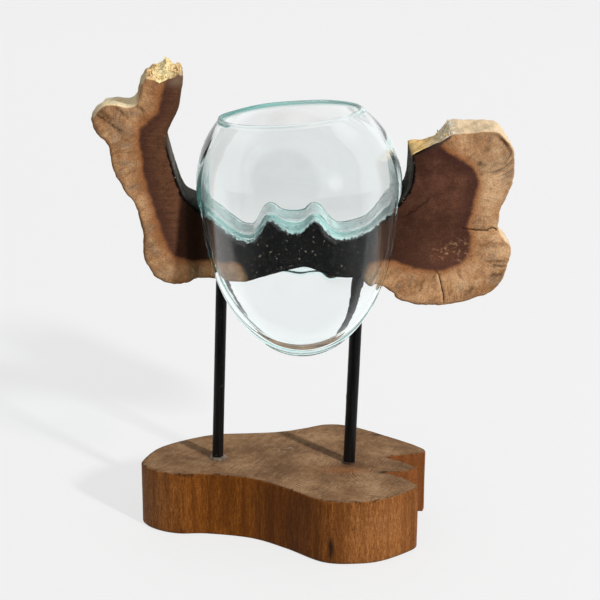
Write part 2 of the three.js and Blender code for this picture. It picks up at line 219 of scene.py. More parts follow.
BASE_CHECKS = [  # drying cracks: strength, middle, reach
    (1.3, (35.3, -78, 12), (2, 6, 9)), (0.8, (-78, -28, 2), (1.2, 5, 3.5)),
    (0.9, (-74, -28.5, 49.5), (9, 1.3, 1.4)), (1.1, (76.5, 50.6, 50), (4.5, 2.2, 3)),
    (0.5, (-88, -20, 36), (0.7, 6, 12)), (0.4, (10, -55, 30), (0.8, 6, 16)),
]
BASE_TOP_CHECK = [(1.3, (76.8, -24.4, 50), (4.6, 2, 4))]
BASE_SCUFFS = [
    (1, (-3, 47, 50), (3, 5, 5)), (0.7, (2, 20, 50), (9, 9, 5)), (0.45, (-16, 34, 50), (9, 7, 5)),
]
BASE_STAINS = [
    (0.75, (52, -9, 50), (9, 6, 4)), (0.35, (-51, 0, 50), (12, 9, 4)), (0.6, (-73, 2, 50), (4.5, 3.5, 4)),
]
BASE_WARM = [(0.65, (46, -20, 50), (17, 6, 4))]
BASE_RINGED = [(1.3, (66, -48, 50), (52, 34, 9))]
BASE_SHADE = [(0.3, (12, -52, 25), (24, 60, 60))]
BASE_PALE = [(0.75, (72, -72, 24), (34, 40, 40)), (0.75, (-106, -8, 24), (26, 30, 60))]


def drawn_line(points, spacing, straight=False):
    """Points about that far apart on a smooth line through the given ones, or on straight lines."""
    points = np.array(points, float)
    ends = np.vstack([points[:1], points, points[-1:]])
    line = []
    for before, start, end, after in zip(ends, ends[1:], ends[2:], ends[3:]):
        steps = max(1, round(float(np.linalg.norm(end - start)) / spacing))
        t = np.arange(steps)[:, None] / steps
        leave, arrive = (end - before) / 2, (after - start) / 2
        if straight:
            leave = arrive = end - start
        cubic = (2 * start - 2 * end + leave + arrive) * t**3
        line.append(cubic + (3 * end - 3 * start - 2 * leave - arrive) * t**2 + leave * t + start)
    return np.vstack(line + [points[-1:]])


def lumps(points, size, seed):
    """Smooth noise from -1 to 1, with lumps of the given size."""
    lattice = np.random.default_rng(seed).uniform(-1, 1, (24, 24, 24))
    place = np.asarray(points) / size
    cell = np.floor(place).astype(int)
    share = place - cell
    share = share * share * (3 - 2 * share)
    total = np.zeros(len(place))
    for corner in np.ndindex(2, 2, 2):
        weight = np.prod(np.where(np.array(corner) == 1, share, 1 - share), axis=1)
        total += weight * lattice[tuple(((cell + corner) % 24).T)]
    return total


def jagged(line, size, seeds):
    """Uneven steps, along and across, for each point of a flat line."""
    return np.column_stack([lumps(np.pad(line, ((0, 0), (0, 1))), size, seed) for seed in seeds])


def nearest_on(line, points, closed):
    """How far each point is from a line, and how far along the line its nearest place lies."""
    start = line if closed else line[:-1]
    run = (np.roll(line, -1, 0) if closed else line[1:]) - start
    length = np.linalg.norm(run, axis=1)
    reached = np.concatenate([[0], np.cumsum(length)[:-1]])
    gap, along = np.empty(len(points)), np.empty(len(points))
    for first in range(0, len(points), 2000):
        some = points[first:first + 2000, None] - start[None]
        share = np.clip((some * run).sum(2) / (length**2 + 1e-12), 0, 1)
        off = np.linalg.norm(some - share[..., None] * run, axis=2)
        best = off.argmin(1)
        row = np.arange(len(best))
        gap[first:first + 2000] = off[row, best]
        along[first:first + 2000] = reached[best] + share[row, best] * length[best]
    return gap, along


def inside(loop, points):
    """Which points lie within a closed loop."""
    x, y = points[:, :1], points[:, 1:]
    a, b = loop[None], np.roll(loop, -1, 0)[None]
    rise = np.where(b[..., 1] == a[..., 1], 1e-9, b[..., 1] - a[..., 1])
    crossing = (a[..., 1] > y) != (b[..., 1] > y)
    left_of = x < (b[..., 0] - a[..., 0]) * (y - a[..., 1]) / rise + a[..., 0]
    return (crossing & left_of).sum(1) % 2 == 1


def lengths_along(loop):
    """How far along a closed line each of its points lies, and its whole length."""
    return np.concatenate([[0], np.cumsum(np.linalg.norm(np.roll(loop, -1, 0) - loop, axis=1))])


def along_outline(outline, values, around):
    """Values given at the points of a closed outline, read at other places along it."""
    return np.interp(around, lengths_along(outline), np.append(values, values[0]))


def hoops(count, rings):
    """The four-sided faces between each ring of points and the next."""
    here = np.arange(count)
    ahead = (here + 1) % count
    faces = []
    for low in range(0, (rings - 1) * count, count):
        faces.append(np.column_stack([low + here, low + ahead, low + count + ahead, low + count + here]))
    return faces


def unit(rows):
    """Rows of numbers as directions, each 1 long."""
    return rows / np.maximum(np.linalg.norm(rows, axis=1, keepdims=True), 1e-9)


def outline_facing(outline):
    """The direction that leads straight out of a closed flat outline, at each of its points."""
    before, after = np.roll(outline, 1, 0), np.roll(outline, -1, 0)
    area = (outline[:, 0] * after[:, 1] - outline[:, 1] * after[:, 0]).sum()
    return unit((after - before)[:, ::-1] * (1, -1)) * np.sign(area)


def sawn_slice(outline, thickness, arris, spacing, extra=None):
    """A slice with rounded arrises: its points as (along, up, across), its triangles, and for each point its
    place along the outline, how far it lies from the bark and the arris, and whether it is on the side."""
    outwards = outline_facing(outline)
    before, after = outline - np.roll(outline, 1, 0), np.roll(outline, -1, 0) - outline
    bend = before[:, 0] * after[:, 1] - before[:, 1] * after[:, 0]
    turn = np.abs(np.arctan2(bend, (before * after).sum(1)))
    room = 0.2 * np.linalg.norm(before + after, axis=1) / np.maximum(turn, 0.05)
    arris = np.minimum(arris, room)
    for _ in range(12):  # next to a sharp corner the rounding grows slowly
        arris = np.minimum(arris, np.roll(arris, 1) + 0.3 * np.linalg.norm(before, axis=1))
        arris = np.minimum(arris, np.roll(arris, -1) + 0.3 * np.linalg.norm(after, axis=1))

    # The side: rings round the front arris, across the thickness and round the back arris.
    count, rings = len(outline), []
    for angle in np.radians([0, 30, 60, 90]):
        rings.append((1 - np.sin(angle), arris * (1 - np.cos(angle)), np.sin(angle)))
    back_arris = [(inset, thickness - across, sideways) for inset, across, sideways in rings[::-1]]
    rows = max(2, round(thickness / (spacing * 1.25)))
    for row in range(1, rows):
        rings.append((0, arris + (thickness - 2 * arris) * row / rows, 1))
    rings += back_arris
    points, side, edge = [], [], []
    for inset, across, sideways in rings:
        flat = outline - outwards * (arris * inset)[:, None]
        points.append(np.column_stack([flat, np.broadcast_to(across, count)]))
        side.append(np.full(count, sideways))
        edge.append(np.minimum(points[-1][:, 2], thickness - points[-1][:, 2]))
    triangles = []
    for quads in hoops(count, len(rings)):
        triangles += [quads[:, :3], quads[:, [0, 2, 3]]]

    # The two sawn faces: an uneven grid of points within the arris, the same in front and behind.
    step = spacing * 1.15
    low, high = outline.min(0), outline.max(0)
    grid = []
    for row, up in enumerate(np.arange(low[1], high[1], step * 0.87)):
        along = np.arange(low[0] + (row % 2) * step / 2, high[0], step)
        grid.append(np.column_stack([along, np.full(len(along), up)]))
    grid = np.vstack(grid)
    grid += np.random.default_rng(7).uniform(-0.22, 0.22, grid.shape) * step
    grid = grid[inside(outline, grid)]
    if extra is not None:
        grid = grid[np.linalg.norm(grid[:, None] - extra[None], axis=2).min(1) > 0.6 * step]
        grid = np.vstack([grid, extra])
    loop = points[0][:, :2]
    grid = grid[nearest_on(loop, grid, True)[0] > 0.55 * spacing]
    grid = grid[inside(loop, grid)]
    flat = np.vstack([loop, grid])
    fences = [(k, (k + 1) % count) for k in range(count)]
    cut = delaunay_2d_cdt([Vector(p) for p in flat.tolist()], fences, [], 1, 1e-7)
    if len(cut[0]) != len(flat):
        raise ValueError("the outline's arris crosses itself")
    source = np.array([old[0] for old in cut[3]])
    face = source[np.array(cut[2])]
    total = len(rings) * count
    front = np.where(face < count, face, total + face - count)
    back = np.where(face < count, total - count + face, total + len(grid) + face - count)
    triangles += [front, back[:, ::-1]]
    for across in (0, thickness):
        points.append(np.column_stack([grid, np.full(len(grid), across)]))
    points, triangles = np.vstack(points), np.vstack(triangles)
    corner = points[triangles]
    if np.einsum("ij,ij->i", corner[:, 0], np.cross(corner[:, 1], corner[:, 2])).sum() < 0:
        triangles = triangles[:, ::-1]
    gap, along = nearest_on(outline, grid, True)
    place = np.concatenate([np.tile(lengths_along(outline)[:-1], len(rings)), along, along])
    bark = np.concatenate([np.zeros(total), gap, gap])
    edge = np.concatenate(edge + [gap, gap])
    side = np.concatenate(side + [np.zeros(2 * len(grid))])
    return points, triangles, place, bark, edge, side


def outwards_of(points, triangles):
    """The direction square to the surface at each point."""
    corner = points[triangles]
    square = np.cross(corner[:, 1] - corner[:, 0], corner[:, 2] - corner[:, 0])
    total = np.zeros_like(points)
    for k in range(3):
        np.add.at(total, triangles[:, k], square)
    return unit(total)


def spot(points, centre, reach):
    """A soft round or long patch: 1 in its middle, fading out at its reach."""
    return np.exp(-(((points - np.array(centre)) / np.array(reach)) ** 2).sum(1))


def patches(points, spots, join=sum):
    """Soft patches, each with its strength, centre and reach, added up or joined another way."""
    return join([strength * spot(points, centre, reach) for strength, centre, reach in spots])


def mark(piece, **values):
    """Writes what a maker's eye sees at each point, for the material to read."""
    for name, value in values.items():
        layer = piece.data.attributes.new(name, "FLOAT", "POINT")
        layer.data.foreach_set("value", np.ascontiguousarray(value, np.float32))


def paint(red, green, blue):
    """A screen colour, 0 to 255, as the light it stands for."""
    share = np.array([red, green, blue]) / 255
    light = np.where(share <= 0.04045, share / 12.92, ((share + 0.055) / 1.055) ** 2.4)
    return (*light.tolist(), 1.0)


def coats(under, *layers):
    """Colours laid over one another. A layer has a mask, a colour or a socket, and at times a way to mix."""
    for shows, over, *way in layers:
        colour = paint(*over) if isinstance(over, tuple) and len(over) == 3 else over
        sockets = {0: shows, 6: under, 7: colour}
        under = node("Mix", sockets, data_type="RGBA", blend_type=way[0] if way else "MIX")[2]
    return under


def shades(value, *colours):
    """A value as a run of screen colours."""
    made = node("ValToRGB", {0: value})[0]
    stops = made.node.color_ramp.elements
    while len(stops) < len(colours):
        stops.new(0.5)
    for k, colour in enumerate(colours):
        stops[k].position = 0.33 + 0.34 * k / (len(colours) - 1)
        stops[k].color = paint(*colour)
    return made


def grain(vector, scale, detail=4.0, roughness=0.55):
    return node("TexNoise", {"Vector": vector, "Scale": scale, "Detail": detail, "Roughness": roughness})[0]


def stretched(place, by):
    return node("VectorMath", {0: place, 1: by}, operation="MULTIPLY")[0]


def eye(name):
    return node("Attribute", attribute_name=name)["Fac"]


def bumps(height, strength, distance):
    return node("Bump", {"Height": height, "Strength": strength, "Distance": distance})[0]


def new_group(name, family, inputs, outputs):
    """An empty group of nodes with named sockets: the group, what it is given, and what it gives back."""
    group = bpy.data.node_groups.new(name, family)
    for way, sockets in (("INPUT", inputs), ("OUTPUT", outputs)):
        for socket, kind in sockets.items():
            group.interface.new_socket(socket, in_out=way, socket_type="NodeSocket" + kind)
    return group, group.nodes.new("NodeGroupInput").outputs, group.nodes.new("NodeGroupOutput")


# Wood figure, shared by the base and the root slab: growth rings follow the bark, rays run square to them,
# fibres run through the slice, and pores speckle the sawn faces.
wood_figure, given, result = new_group(
    "wood figure", "ShaderNodeTree",
    {"Place": "Vector", "Fibre": "Vector", "Bark": "Float", "Around": "Float", "Side": "Float",
     "Ring Width": "Float"},
    dict.fromkeys(("Blotch", "Rings", "Rays", "Fibres", "Pores", "Height"), "Float"),
)
tree = wood_figure
place, bark = given["Place"], given["Bark"]
phase = calc("ADD", calc("DIVIDE", bark, given["Ring Width"]), times(grain(place, 42, 4, 0.6), 3.0))
wave = calc("MULTIPLY_ADD", calc("SINE", times(phase, 6.283)), 0.5, 0.5)
rings = times(calc("POWER", wave, 4.0), ramp(grain(place, 70, 3), 0.35, 0.7))
polar = node("CombineXYZ", {0: times(given["Around"], 0.9), 1: times(bark, 0.05)})[0]
long_way = stretched(place, given["Fibre"])
fibres = times(calc("ADD", grain(long_way, 1.0, 5, 0.6), grain(long_way, 2.3, 4, 0.6)), 0.5)
pores = grain(place, 620, 3, 0.75)
on_face = calc("SUBTRACT", times(pores, 0.7), times(rings, 0.1))
fill(result, {
    "Blotch": grain(place, 26, 6, 0.6), "Rings": rings, "Rays": ramp(grain(polar, 1.0, 4, 0.65), 0.52, 0.72),
    "Fibres": fibres, "Pores": pores, "Height": blend(given["Side"], on_face, fibres),
})

# Saw marks, shared by the same two pieces: fine straight scores that come and go over the sawn faces.
saw_marks, given, result = new_group(
    "saw marks", "ShaderNodeTree", dict.fromkeys(("Place", "Turn", "Stretch"), "Vector"),
    {"Scores": "Float", "Grooves": "Float"},
)
tree = saw_marks
sockets = {"Vector": given["Place"], "Rotation": given["Turn"]}
turned = node("VectorRotate", sockets, rotation_type="EULER_XYZ")[0]
strokes = grain(stretched(turned, given["Stretch"]), 1.0, 3, 0.6)
patch = ramp(grain(given["Place"], 40, 3), 0.38, 0.62)
fill(result, {
    "Scores": times(ramp(strokes, 0.5, 0.68), patch),
    "Grooves": times(ramp(strokes, 0.5, 0.34), patch),
})


def wood_nodes(fibre, ring_width, turn, stretch):
    """Where a point of a piece of wood is, and the wood's figure and saw marks there."""
    place = node("TexCoord")["Object"]
    sockets = {"Place": place, "Fibre": fibre, "Ring Width": ring_width,
               "Bark": eye("bark"), "Around": eye("around"), "Side": eye("side")}
    figure = node("Group", sockets, node_tree=wood_figure)
    saw = node("Group", {"Place": place, "Turn": turn, "Stretch": stretch}, node_tree=saw_marks)
    return place, figure, saw


trunk, tree, shader = new_material("trunk wood")
place, figure, saw = wood_nodes((860, 860, 120), 2.6, (0, 0, -1.1), (48, 1250, 0))
mottle = grain(place, 210, 5, 0.7)
flake = ramp(grain(place, 230, 6, 0.8), 0.55, 0.64)
top = coats(
    shades(figure["Blotch"], (116, 85, 59), (152, 117, 84), (182, 146, 109)),
    (ramp(mottle, 0.52, 0.34, 0, 0.4), (106, 76, 52)),
    (ramp(mottle, 0.52, 0.7, 0, 0.4), (188, 152, 114)),
    (times(figure["Rings"], eye("ringed")), (76, 52, 34)),
    (ramp(figure["Pores"], 0.5, 0.72, 0, 0.4), (92, 64, 42)),
    (times(saw["Scores"], 0.4), (192, 160, 124)),
    (times(saw["Grooves"], 0.5), (92, 66, 44)),
    (ramp(axis(place, "X"), 0.03, -0.1), (234, 231, 228), "MULTIPLY"),
    (times(eye("scuff"), flake), (226, 214, 196)),
    (eye("warm"), (158, 102, 62)),
    (eye("stain"), (78, 56, 40)),
)
bands = grain(stretched(place, (170, 170, 9)), 1.0, 4, 0.6)
pale = coats(
    shades(figure["Fibres"], (110, 68, 36), (156, 102, 58), (198, 140, 90)),
    (ramp(bands, 0.52, 0.36, 0, 0.5), (122, 74, 38)),
)
flank = coats(
    shades(figure["Fibres"], (80, 41, 9), (114, 63, 17), (148, 90, 35)),
    (ramp(bands, 0.52, 0.36, 0, 0.55), (82, 42, 10)),
    (ramp(bands, 0.52, 0.68, 0, 0.45), (144, 84, 30)),
    (eye("shade"), (172, 142, 104), "MULTIPLY"),
    (eye("pale"), pale),
    (times(eye("split"), 0.7), (124, 74, 42)),
    (ramp(grain(place, 900, 2, 0.6), 0.55, 0.68, 0, 0.5), (70, 36, 12)),
)
chipped = times(ramp(grain(place, 240, 4, 0.7), 0.54, 0.6), ramp(eye("edge"), 2.4, 0.6, 0, 0.8))
colour = coats(
    top,
    (ramp(eye("side"), 0.3, 0.8), flank),
    (1.0, ramp(grain(place, 1150, 3, 0.7), 0.3, 0.7, 0.82, 1.24), "MULTIPLY"),
    (ramp(eye("edge"), 0.7, 0.1, 0, 0.25), (70, 44, 26)),
    (chipped, (62, 38, 22)),
    (eye("check"), (30, 18, 10)),
)
fill(shader, {
    "Base Color": colour, "Roughness": ramp(eye("side"), 0, 1, 0.75, 0.55), "Specular IOR Level": 0.1,
    "Normal": bumps(figure["Height"], 0.3, 0.001),
})

waxed = drawn_line((BASE_FRONT_EDGE + BASE_BACK_EDGE) * BASE_SIZE, 1.6)
torn = drawn_line(BASE_SPLITS * BASE_SIZE, 1.6, straight=True)[1:-1]
outline = np.vstack([waxed, torn + 0.5 * jagged(torn, 5, (3, 4))])
in_split = np.concatenate([np.zeros(len(waxed)), np.ones(len(torn))])
points, triangles, around, bark, edge, side = sawn_slice(outline, BASE_THICKNESS, BASE_ARRIS, BASE_SPACING)
split = along_outline(outline, in_split, around) * (side > 0.5)
check = patches(points, BASE_CHECKS) + patches(points, BASE_TOP_CHECK) * (side < 0.5)
check = np.clip(check, 0, 1)
push = side * (0.45 * lumps(points, 26, 11) + 0.16 * lumps(points * (1, 1, 0.15), 4, 12))
push += (1 - side) * 0.12 * lumps(points, 30, 13) + split * 0.5 * lumps(points * (1, 1, 0.2), 3, 14)
push -= 1.3 * check * side
above_floor = points[:, 2] > 1
points = points + outwards_of(points, triangles) * (push * above_floor)[:, None]
base = new_piece("trunk_base", points, triangles, trunk)
front = points[:, 1] < -20
mark(base, bark=bark, around=around, edge=edge, side=side, split=split, check=check,
     scuff=np.clip(patches(points, BASE_SCUFFS), 0, 1),
     ringed=np.clip(0.28 + patches(points, BASE_RINGED), 0, 1) * (side < 0.5),
     stain=patches(points, BASE_STAINS), warm=patches(points, BASE_WARM),
     shade=front * patches(points, BASE_SHADE), pale=patches(points, BASE_PALE))
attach(base, "stand")
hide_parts("base_slab")

# The rods: two lengths of round iron bar, brushed with satin black paint that dried a little lumpy and ran.
# Each leans to the right and is glued into a hole in the base and in the underside of the root slab.
ROD_RADIUS = 4
ROD_REACH = 151
ROD_LEAN = math.radians(2.1)
ROD_CLEARANCE = 0.3
RODS = {"left": (-51, 4, 18), "right": (51, -4, 12)}  # where each stands, and how deep its head goes in
FOOT_DEPTH = 30
PAINT_COAT = {"left": 0.2, "right": 0.5}
PAINT_LUMP = 0.28
geo = "GeometryNode"


def grown(name, mesh, group, **values):
    """A plain mesh piece made by a geometry tree with the given inputs."""
    holder = bpy.data.objects.new(name, mesh)
    scene.collection.objects.link(holder)
    maker = holder.modifiers.new(name, "NODES")
    maker.node_group = group
    for socket in group.interface.items_tree:
        if socket.in_out == "INPUT" and socket.name in values:
            maker[socket.identifier] = values[socket.name]
    ready = holder.evaluated_get(bpy.context.evaluated_depsgraph_get())
    made = bpy.data.meshes.new_from_object(ready)
    holder.modifiers.remove(maker)
    holder.data = made
    return holder


def finished(geometry, material, **look):
    """The end of each geometry tree: plain faces, what the eye sees on them, and their material."""
    whole = node("RealizeInstances", {"Geometry": geometry}, geo)[0]
    for name, value in look.items():
        whole = node("StoreNamedAttribute", {"Geometry": whole, "Name": name, "Value": value}, geo)[0]
    return {"Geometry": node("SetMaterial", {"Geometry": whole, "Material": material}, geo)[0]}


painted_rod, given, result = new_group(
    "painted rod", "GeometryNodeTree",
    {"Foot": "Vector", "Head": "Vector", "Radius": "Float", "Lump": "Float", "Seed": "Float",
     "Paint": "Material"},
    {"Geometry": "Geometry"},
)
tree = painted_rod
line = node("CurvePrimitiveLine", {"Start": given["Foot"], "End": given["Head"]}, geo)[0]
line = node("ResampleCurve", {"Curve": line, "Count": 150}, geo)[0]
hoop = node("CurvePrimitiveCircle", {"Resolution": 30, "Radius": given["Radius"]}, geo)[0]
bar = node("CurveToMesh", {"Curve": line, "Profile Curve": hoop, "Fill Caps": True}, geo)[0]
where = {"Vector": node("InputPosition", family=geo)[0], "W": given["Seed"]}
lumpy = node("TexNoise", where | {"Scale": 130.0, "Detail": 3.0}, noise_dimensions="4D")[0]
runs = node("TexNoise", where | {"Scale": 55.0, "Detail": 1.0}, noise_dimensions="4D")[0]
thick = times(calc("ADD", times(lumpy, 0.5), ramp(runs, 0.62, 0.8, 0, 2.2)), given["Lump"])
lift = node("VectorMath", {0: node("InputNormal", family=geo)[0], "Scale": thick}, operation="SCALE")[0]
bar = node("SetPosition", {"Geometry": bar, "Offset": lift}, geo)[0]
bar = node("SetShadeSmooth", {"Geometry": bar}, geo)[0]
fill(result, finished(bar, given["Paint"]))

black_paint, tree, shader = new_material("black paint")
place = node("TexCoord")["Object"]
brushed = grain(stretched(place, (500, 500, 30)), 1)
worn = ramp(grain(place, 160, 5, 0.7), 0.62, 0.7)
black = shades(brushed, (7, 7, 7), (13, 12, 12), (21, 20, 20))
fill(shader, {
    "Base Color": coats(black, (times(worn, 0.6), (62, 56, 52))),
    "Roughness": ramp(brushed, 0.3, 0.7, 0.35, 0.55), "Specular IOR Level": 0.15,
    "Normal": bumps(brushed, 0.25, 0.0006),
})
along = np.array([math.sin(ROD_LEAN), 0, math.cos(ROD_LEAN)])
for name, (x, y, depth) in RODS.items():
    stand = np.array([x, y, BASE_THICKNESS])
    rod = grown(name + "_painted_rod", bpy.data.meshes.new(name), painted_rod,
                Foot=((stand - along * (FOOT_DEPTH - ROD_CLEARANCE)) * 0.001).tolist(),
                Head=((stand + along * (ROD_REACH + depth - ROD_CLEARANCE)) * 0.001).tolist(),
                Radius=(ROD_RADIUS + PAINT_COAT[name]) * 0.001, Lump=PAINT_LUMP * 0.001, Seed=float(x),
                Paint=black_paint)
    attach(rod, "stand")
    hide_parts(name + "_rod")

# The glue: thick wood glue fills each socket round the rod. At the feet some was pressed out and dried in
# a bead, a wide pale one on the left and a small dark one on the right. In the slab it stays out of sight.
GLUE_BEADS = {"left": (6.9, 1.5), "right": (5.6, 0.9)}  # how far each bead reaches, and how high it stands
GLUE_SIDES = 48
GLUE_BORE, GLUE_NECK, GLUE_SOCKET = 4.5, 4.7, 5.1
GLUE_DEPTH = 29.5
GLUE_SECTION = [  # out and up: radii in millimetres, or shares of the bead where they are 1 or less
    (GLUE_BORE, -GLUE_DEPTH), (GLUE_BORE, 1.2), (4.65, 1.0), (0.3, 0.9), (0.55, 0.72), (0.8, 0.42),
    (0.95, 0.15), (1.0, -0.1), (0.9, -0.4), (GLUE_SOCKET, -0.5), (GLUE_SOCKET, -GLUE_DEPTH),
]

glue, tree, shader = new_material("dried glue")
place = node("TexCoord")["Object"]
crust = grain(place, 420, 5, 0.65)
dark = shades(crust, (30, 20, 14), (50, 36, 26), (76, 58, 42))
right_foot = ramp(axis(place, "X"), -0.01, 0.01)
fill(shader, {
    "Base Color": coats(shades(crust, (72, 60, 49), (104, 92, 79), (140, 127, 113)), (right_foot, dark)),
    "Roughness": ramp(grain(place, 260), 0.3, 0.7, 0.35, 0.65), "Specular IOR Level": 0.15,
    "Normal": bumps(grain(place, 700, 4), 0.4, 0.0005),
})
turn = np.linspace(0, 2 * np.pi, GLUE_SIDES, endpoint=False)
ring = np.column_stack([np.cos(turn), np.sin(turn), np.zeros(GLUE_SIDES)])
faces = np.vstack(hoops(GLUE_SIDES, len(GLUE_SECTION) + 1)) % (GLUE_SIDES * len(GLUE_SECTION))
faces = np.roll(faces[:, ::-1], 1, axis=1)
for name, (x, y, _) in RODS.items():
    reach, crown = GLUE_BEADS[name]
    uneven = ring * 9 + x
    wide = reach + 0.13 * reach * lumps(uneven, 5, 21) + 0.05 * reach * lumps(uneven, 2, 22)
    tall = crown + crown / 3 * lumps(uneven, 4, 23)
    rows = []
    for out, up in GLUE_SECTION:
        radius = np.full(GLUE_SIDES, out) if out > 1 else GLUE_NECK + (wide - GLUE_NECK) * out
        level = up * tall if up > 0 else np.full(GLUE_SIDES, up)
        rows.append(np.column_stack([ring[:, :2] * radius[:, None], level]))
    points = np.vstack(rows)
    points[:, 0] += points[:, 2] * math.sin(ROD_LEAN)
    bead = new_piece(name + "_glue_bead", points + (x, y, BASE_THICKNESS), faces, glue)
    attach(bead, "stand")
    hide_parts(name + "_foot_glue")
    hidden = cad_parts[name + "_head_glue"]
    hidden.data.materials.clear()
    hidden.data.materials.append(glue)

# The root slab: a thick slice sawn from a root, left in its natural outline with a waist, two wings and
# a knob. The sawn faces show dark heartwood inside pale sapwood. The hot glass burnt the valley black,
# the left tip is broken off raw, and the right wing's inner corner was chopped away.
SEAT = 201
VASE_AXIS = 12.5
BELLY_RADIUS = 75.5
SADDLE_PEAK = 46
SLAB_THICKNESS = 45
SLAB_ARRIS, RAW_ARRIS = 2.0, 0.6  # on the natural edges, and where the wood was broken or chopped
SLAB_SPACING = 1.7
LEFT_WING = (-71, 158)  # reach and rise
RIGHT_WING = (79, 111)
LEFT_WING_SLANT = 4
LEFT_WING_INSIDE = [
    (0.085, 0.401), (0.141, 0.459), (0.225, 0.592), (0.254, 0.688), (0.141, 0.803), (0.099, 0.892),
    (0.085, 0.936),
]
LEFT_WING_BREAK = [(0.13, 0.968), (0.19, 0.955), (0.24, 1.0), (0.29, 0.968), (0.37, 0.968), (0.45, 0.952)]
LEFT_WING_OUTSIDE = [
    (0.507, 0.911), (0.54, 0.847), (0.577, 0.818), (0.66, 0.813), (0.78, 0.822), (0.9, 0.815), (1.0, 0.758),
    (0.972, 0.7), (0.873, 0.643), (0.8, 0.51), (0.634, 0.376), (0.57, 0.3), (0.521, 0.204), (0.521, 0.115),
    (0.47, 0.045), (0.38, 0), (0.225, -0.019), (0.085, -0.01), (-0.028, 0.012),
]
UNDERSIDE = [
    (-0.79, 0), (-0.62, -0.02), (-0.497, 0), (-0.285, 0.087), (-0.06, 0.18), (0.05, 0.217), (0.17, 0.17),
    (0.35, 0.087), (0.563, 0.065), (0.7, -0.1), (0.815, -0.09),
]
RIGHT_WING_OUTSIDE = [
    (-0.063, -0.081), (-0.025, -0.126), (0.076, -0.153), (0.228, -0.171), (0.544, -0.153), (0.684, -0.126),
    (0.81, -0.081), (0.9, -0.018), (0.987, 0.135), (0.995, 0.234), (0.937, 0.28), (0.886, 0.342),
    (0.873, 0.414), (0.9, 0.505), (0.975, 0.658), (1.0, 0.77), (0.975, 0.872), (0.87, 0.97), (0.76, 1.0),
    (0.5, 0.985),
]
RIGHT_WING_NOTCH = [(0.43, 0.977), (0.316, 0.901), (0.19, 0.865), (0.063, 0.838)]
RIGHT_WING_INSIDE = [(0.063, 0.766), (0.055, 0.694), (0.045, 0.64)]
SADDLE_EDGE = [
    (-1.02, 1.272), (-0.96, 1.185), (-0.828, 1.022), (-0.722, 0.859), (-0.603, 0.717), (-0.51, 0.674),
    (-0.417, 0.69), (-0.338, 0.87), (-0.285, 0.99), (-0.232, 0.99), (-0.166, 0.891), (-0.086, 0.826),
    (-0.007, 0.826), (0.06, 0.891), (0.126, 1.0), (0.179, 1.0), (0.245, 0.87), (0.338, 0.739), (0.43, 0.707),
    (0.55, 0.75), (0.682, 0.848), (0.815, 1.043), (0.881, 1.16), (0.934, 1.27), (0.98, 1.35), (1.03, 1.44),
]
LEFT_HEART = [
    (-83, 352), (-83, 347), (-87, 324), (-102, 314), (-100.5, 297), (-98, 275), (-91.5, 255), (-88.5, 239),
    (-84, 230), (-78.5, 220), (-69, 216.6), (-50, 216.6), (0, 216.6), (0, 352),
]
RIGHT_HEART = [
    (112, 299), (124, 294), (136, 286), (141, 275), (140, 265), (137, 251), (133, 241), (137, 233),
    (136, 221), (130, 214), (119, 210), (104, 209), (91, 213), (82, 217), (20, 215), (20, 300),
]
CRACKS = {
    "wing": ([(131, 241), (138, 240), (145, 238.6), (151.7, 240.6), (156.6, 240), (160, 240)], 0.3),
    "foot": ([(113, 208), (116, 200.6), (118, 192.4), (120, 182)], 0.26),
    "heart": ([(87, 249), (93, 252), (100, 257), (106.5, 263)], 0.8),
}
DARK_RAYS = [  # start, end, width and strength of the dark rays across the knob, then round the right wing
    ((-131, 324), (-114, 311.5), 1.0, 0.95), ((-128, 326.5), (-122, 321), 2.2, 0.75),
    ((-118, 330), (-109, 322), 0.9, 0.9), ((-104, 331), (-97, 326), 0.9, 0.75),
    ((-134, 318), (-127, 311), 1.2, 0.6), ((95, 204), (93.6, 197.4), 0.9, 0.6),
    ((104.5, 204), (101, 193.3), 0.9, 0.75), ((129, 209), (131, 203.3), 0.9, 0.6),
    ((113, 210), (110.7, 203.3), 0.9, 0.6), ((140.6, 196), (136.3, 192), 1.0, 0.6),
    ((154.4, 205.7), (160.3, 206.3), 0.9, 0.75), ((149.7, 216), (162.8, 216.5), 0.8, 0.75),
    ((151.7, 213), (164, 212.2), 0.8, 0.7), ((144, 228), (155, 229.8), 0.9, 0.5),
    ((134.7, 193.8), (135, 187), 0.9, 0.6), ((138, 245), (144.6, 247), 0.9, 0.5),
    ((157.5, 276.5), (165.5, 280.5), 0.9, 0.5),
]
SMUDGES = [
    (0.8, (-105.5, 325), (6.5, 2.4)), (0.8, (-111, 301.5), (6.5, 2.4)), (0.8, (-113, 289), (6.5, 2.4)),
    (0.75, (-106, 271.5), (6.5, 2.4)), (0.7, (-94, 242), (6.5, 2.4)), (0.5, (-88, 207), (6.5, 2.4)),
]
KNOTS = [
    (1, (142, 288.5), (2.4, 2.2)), (1, (143, 281), (1.2, 1.3)), (0.6, (145.5, 288), (1.5, 1.5)),
    (0.5, (120, 303), (1.5, 1.5)), (0.5, (147, 298), (1.5, 1.5)), (0.45, (160, 289), (1.5, 1.5)),
    (0.4, (134, 293), (1.5, 1.5)),
]
RIM_KNOT = [(0.9, (159, 304), (6, 8))]
SCRATCHES = [(1, (118, 222), (8, 5)), (1, (128, 228), (8, 4)), (0.8, (132, 219), (6, 4))]
SAW_ARCS = [(1.6, (163, 286), (13, 13))]
SAW_HUB = (0.148, 0, 0.303)
SMOKE = [(0.8, (-74, 348), (6, 4))]
CREAM = [(1.3, (-82.5, 354), (6, 14))]
BLEACHED_FACE = [(0.15, (160, 280), (24, 30))]
CRACK_DEPTH = 14  # how far into the slab the cracks run
SCORCH_LEFT = [205, 245], [45, 63]  # how far from the vase's axis the wood is scorched, by height
SCORCH_RIGHT = [205, 245], [54, 63]
SCORCH_FADE = 12
SCORCH_TOP = 276
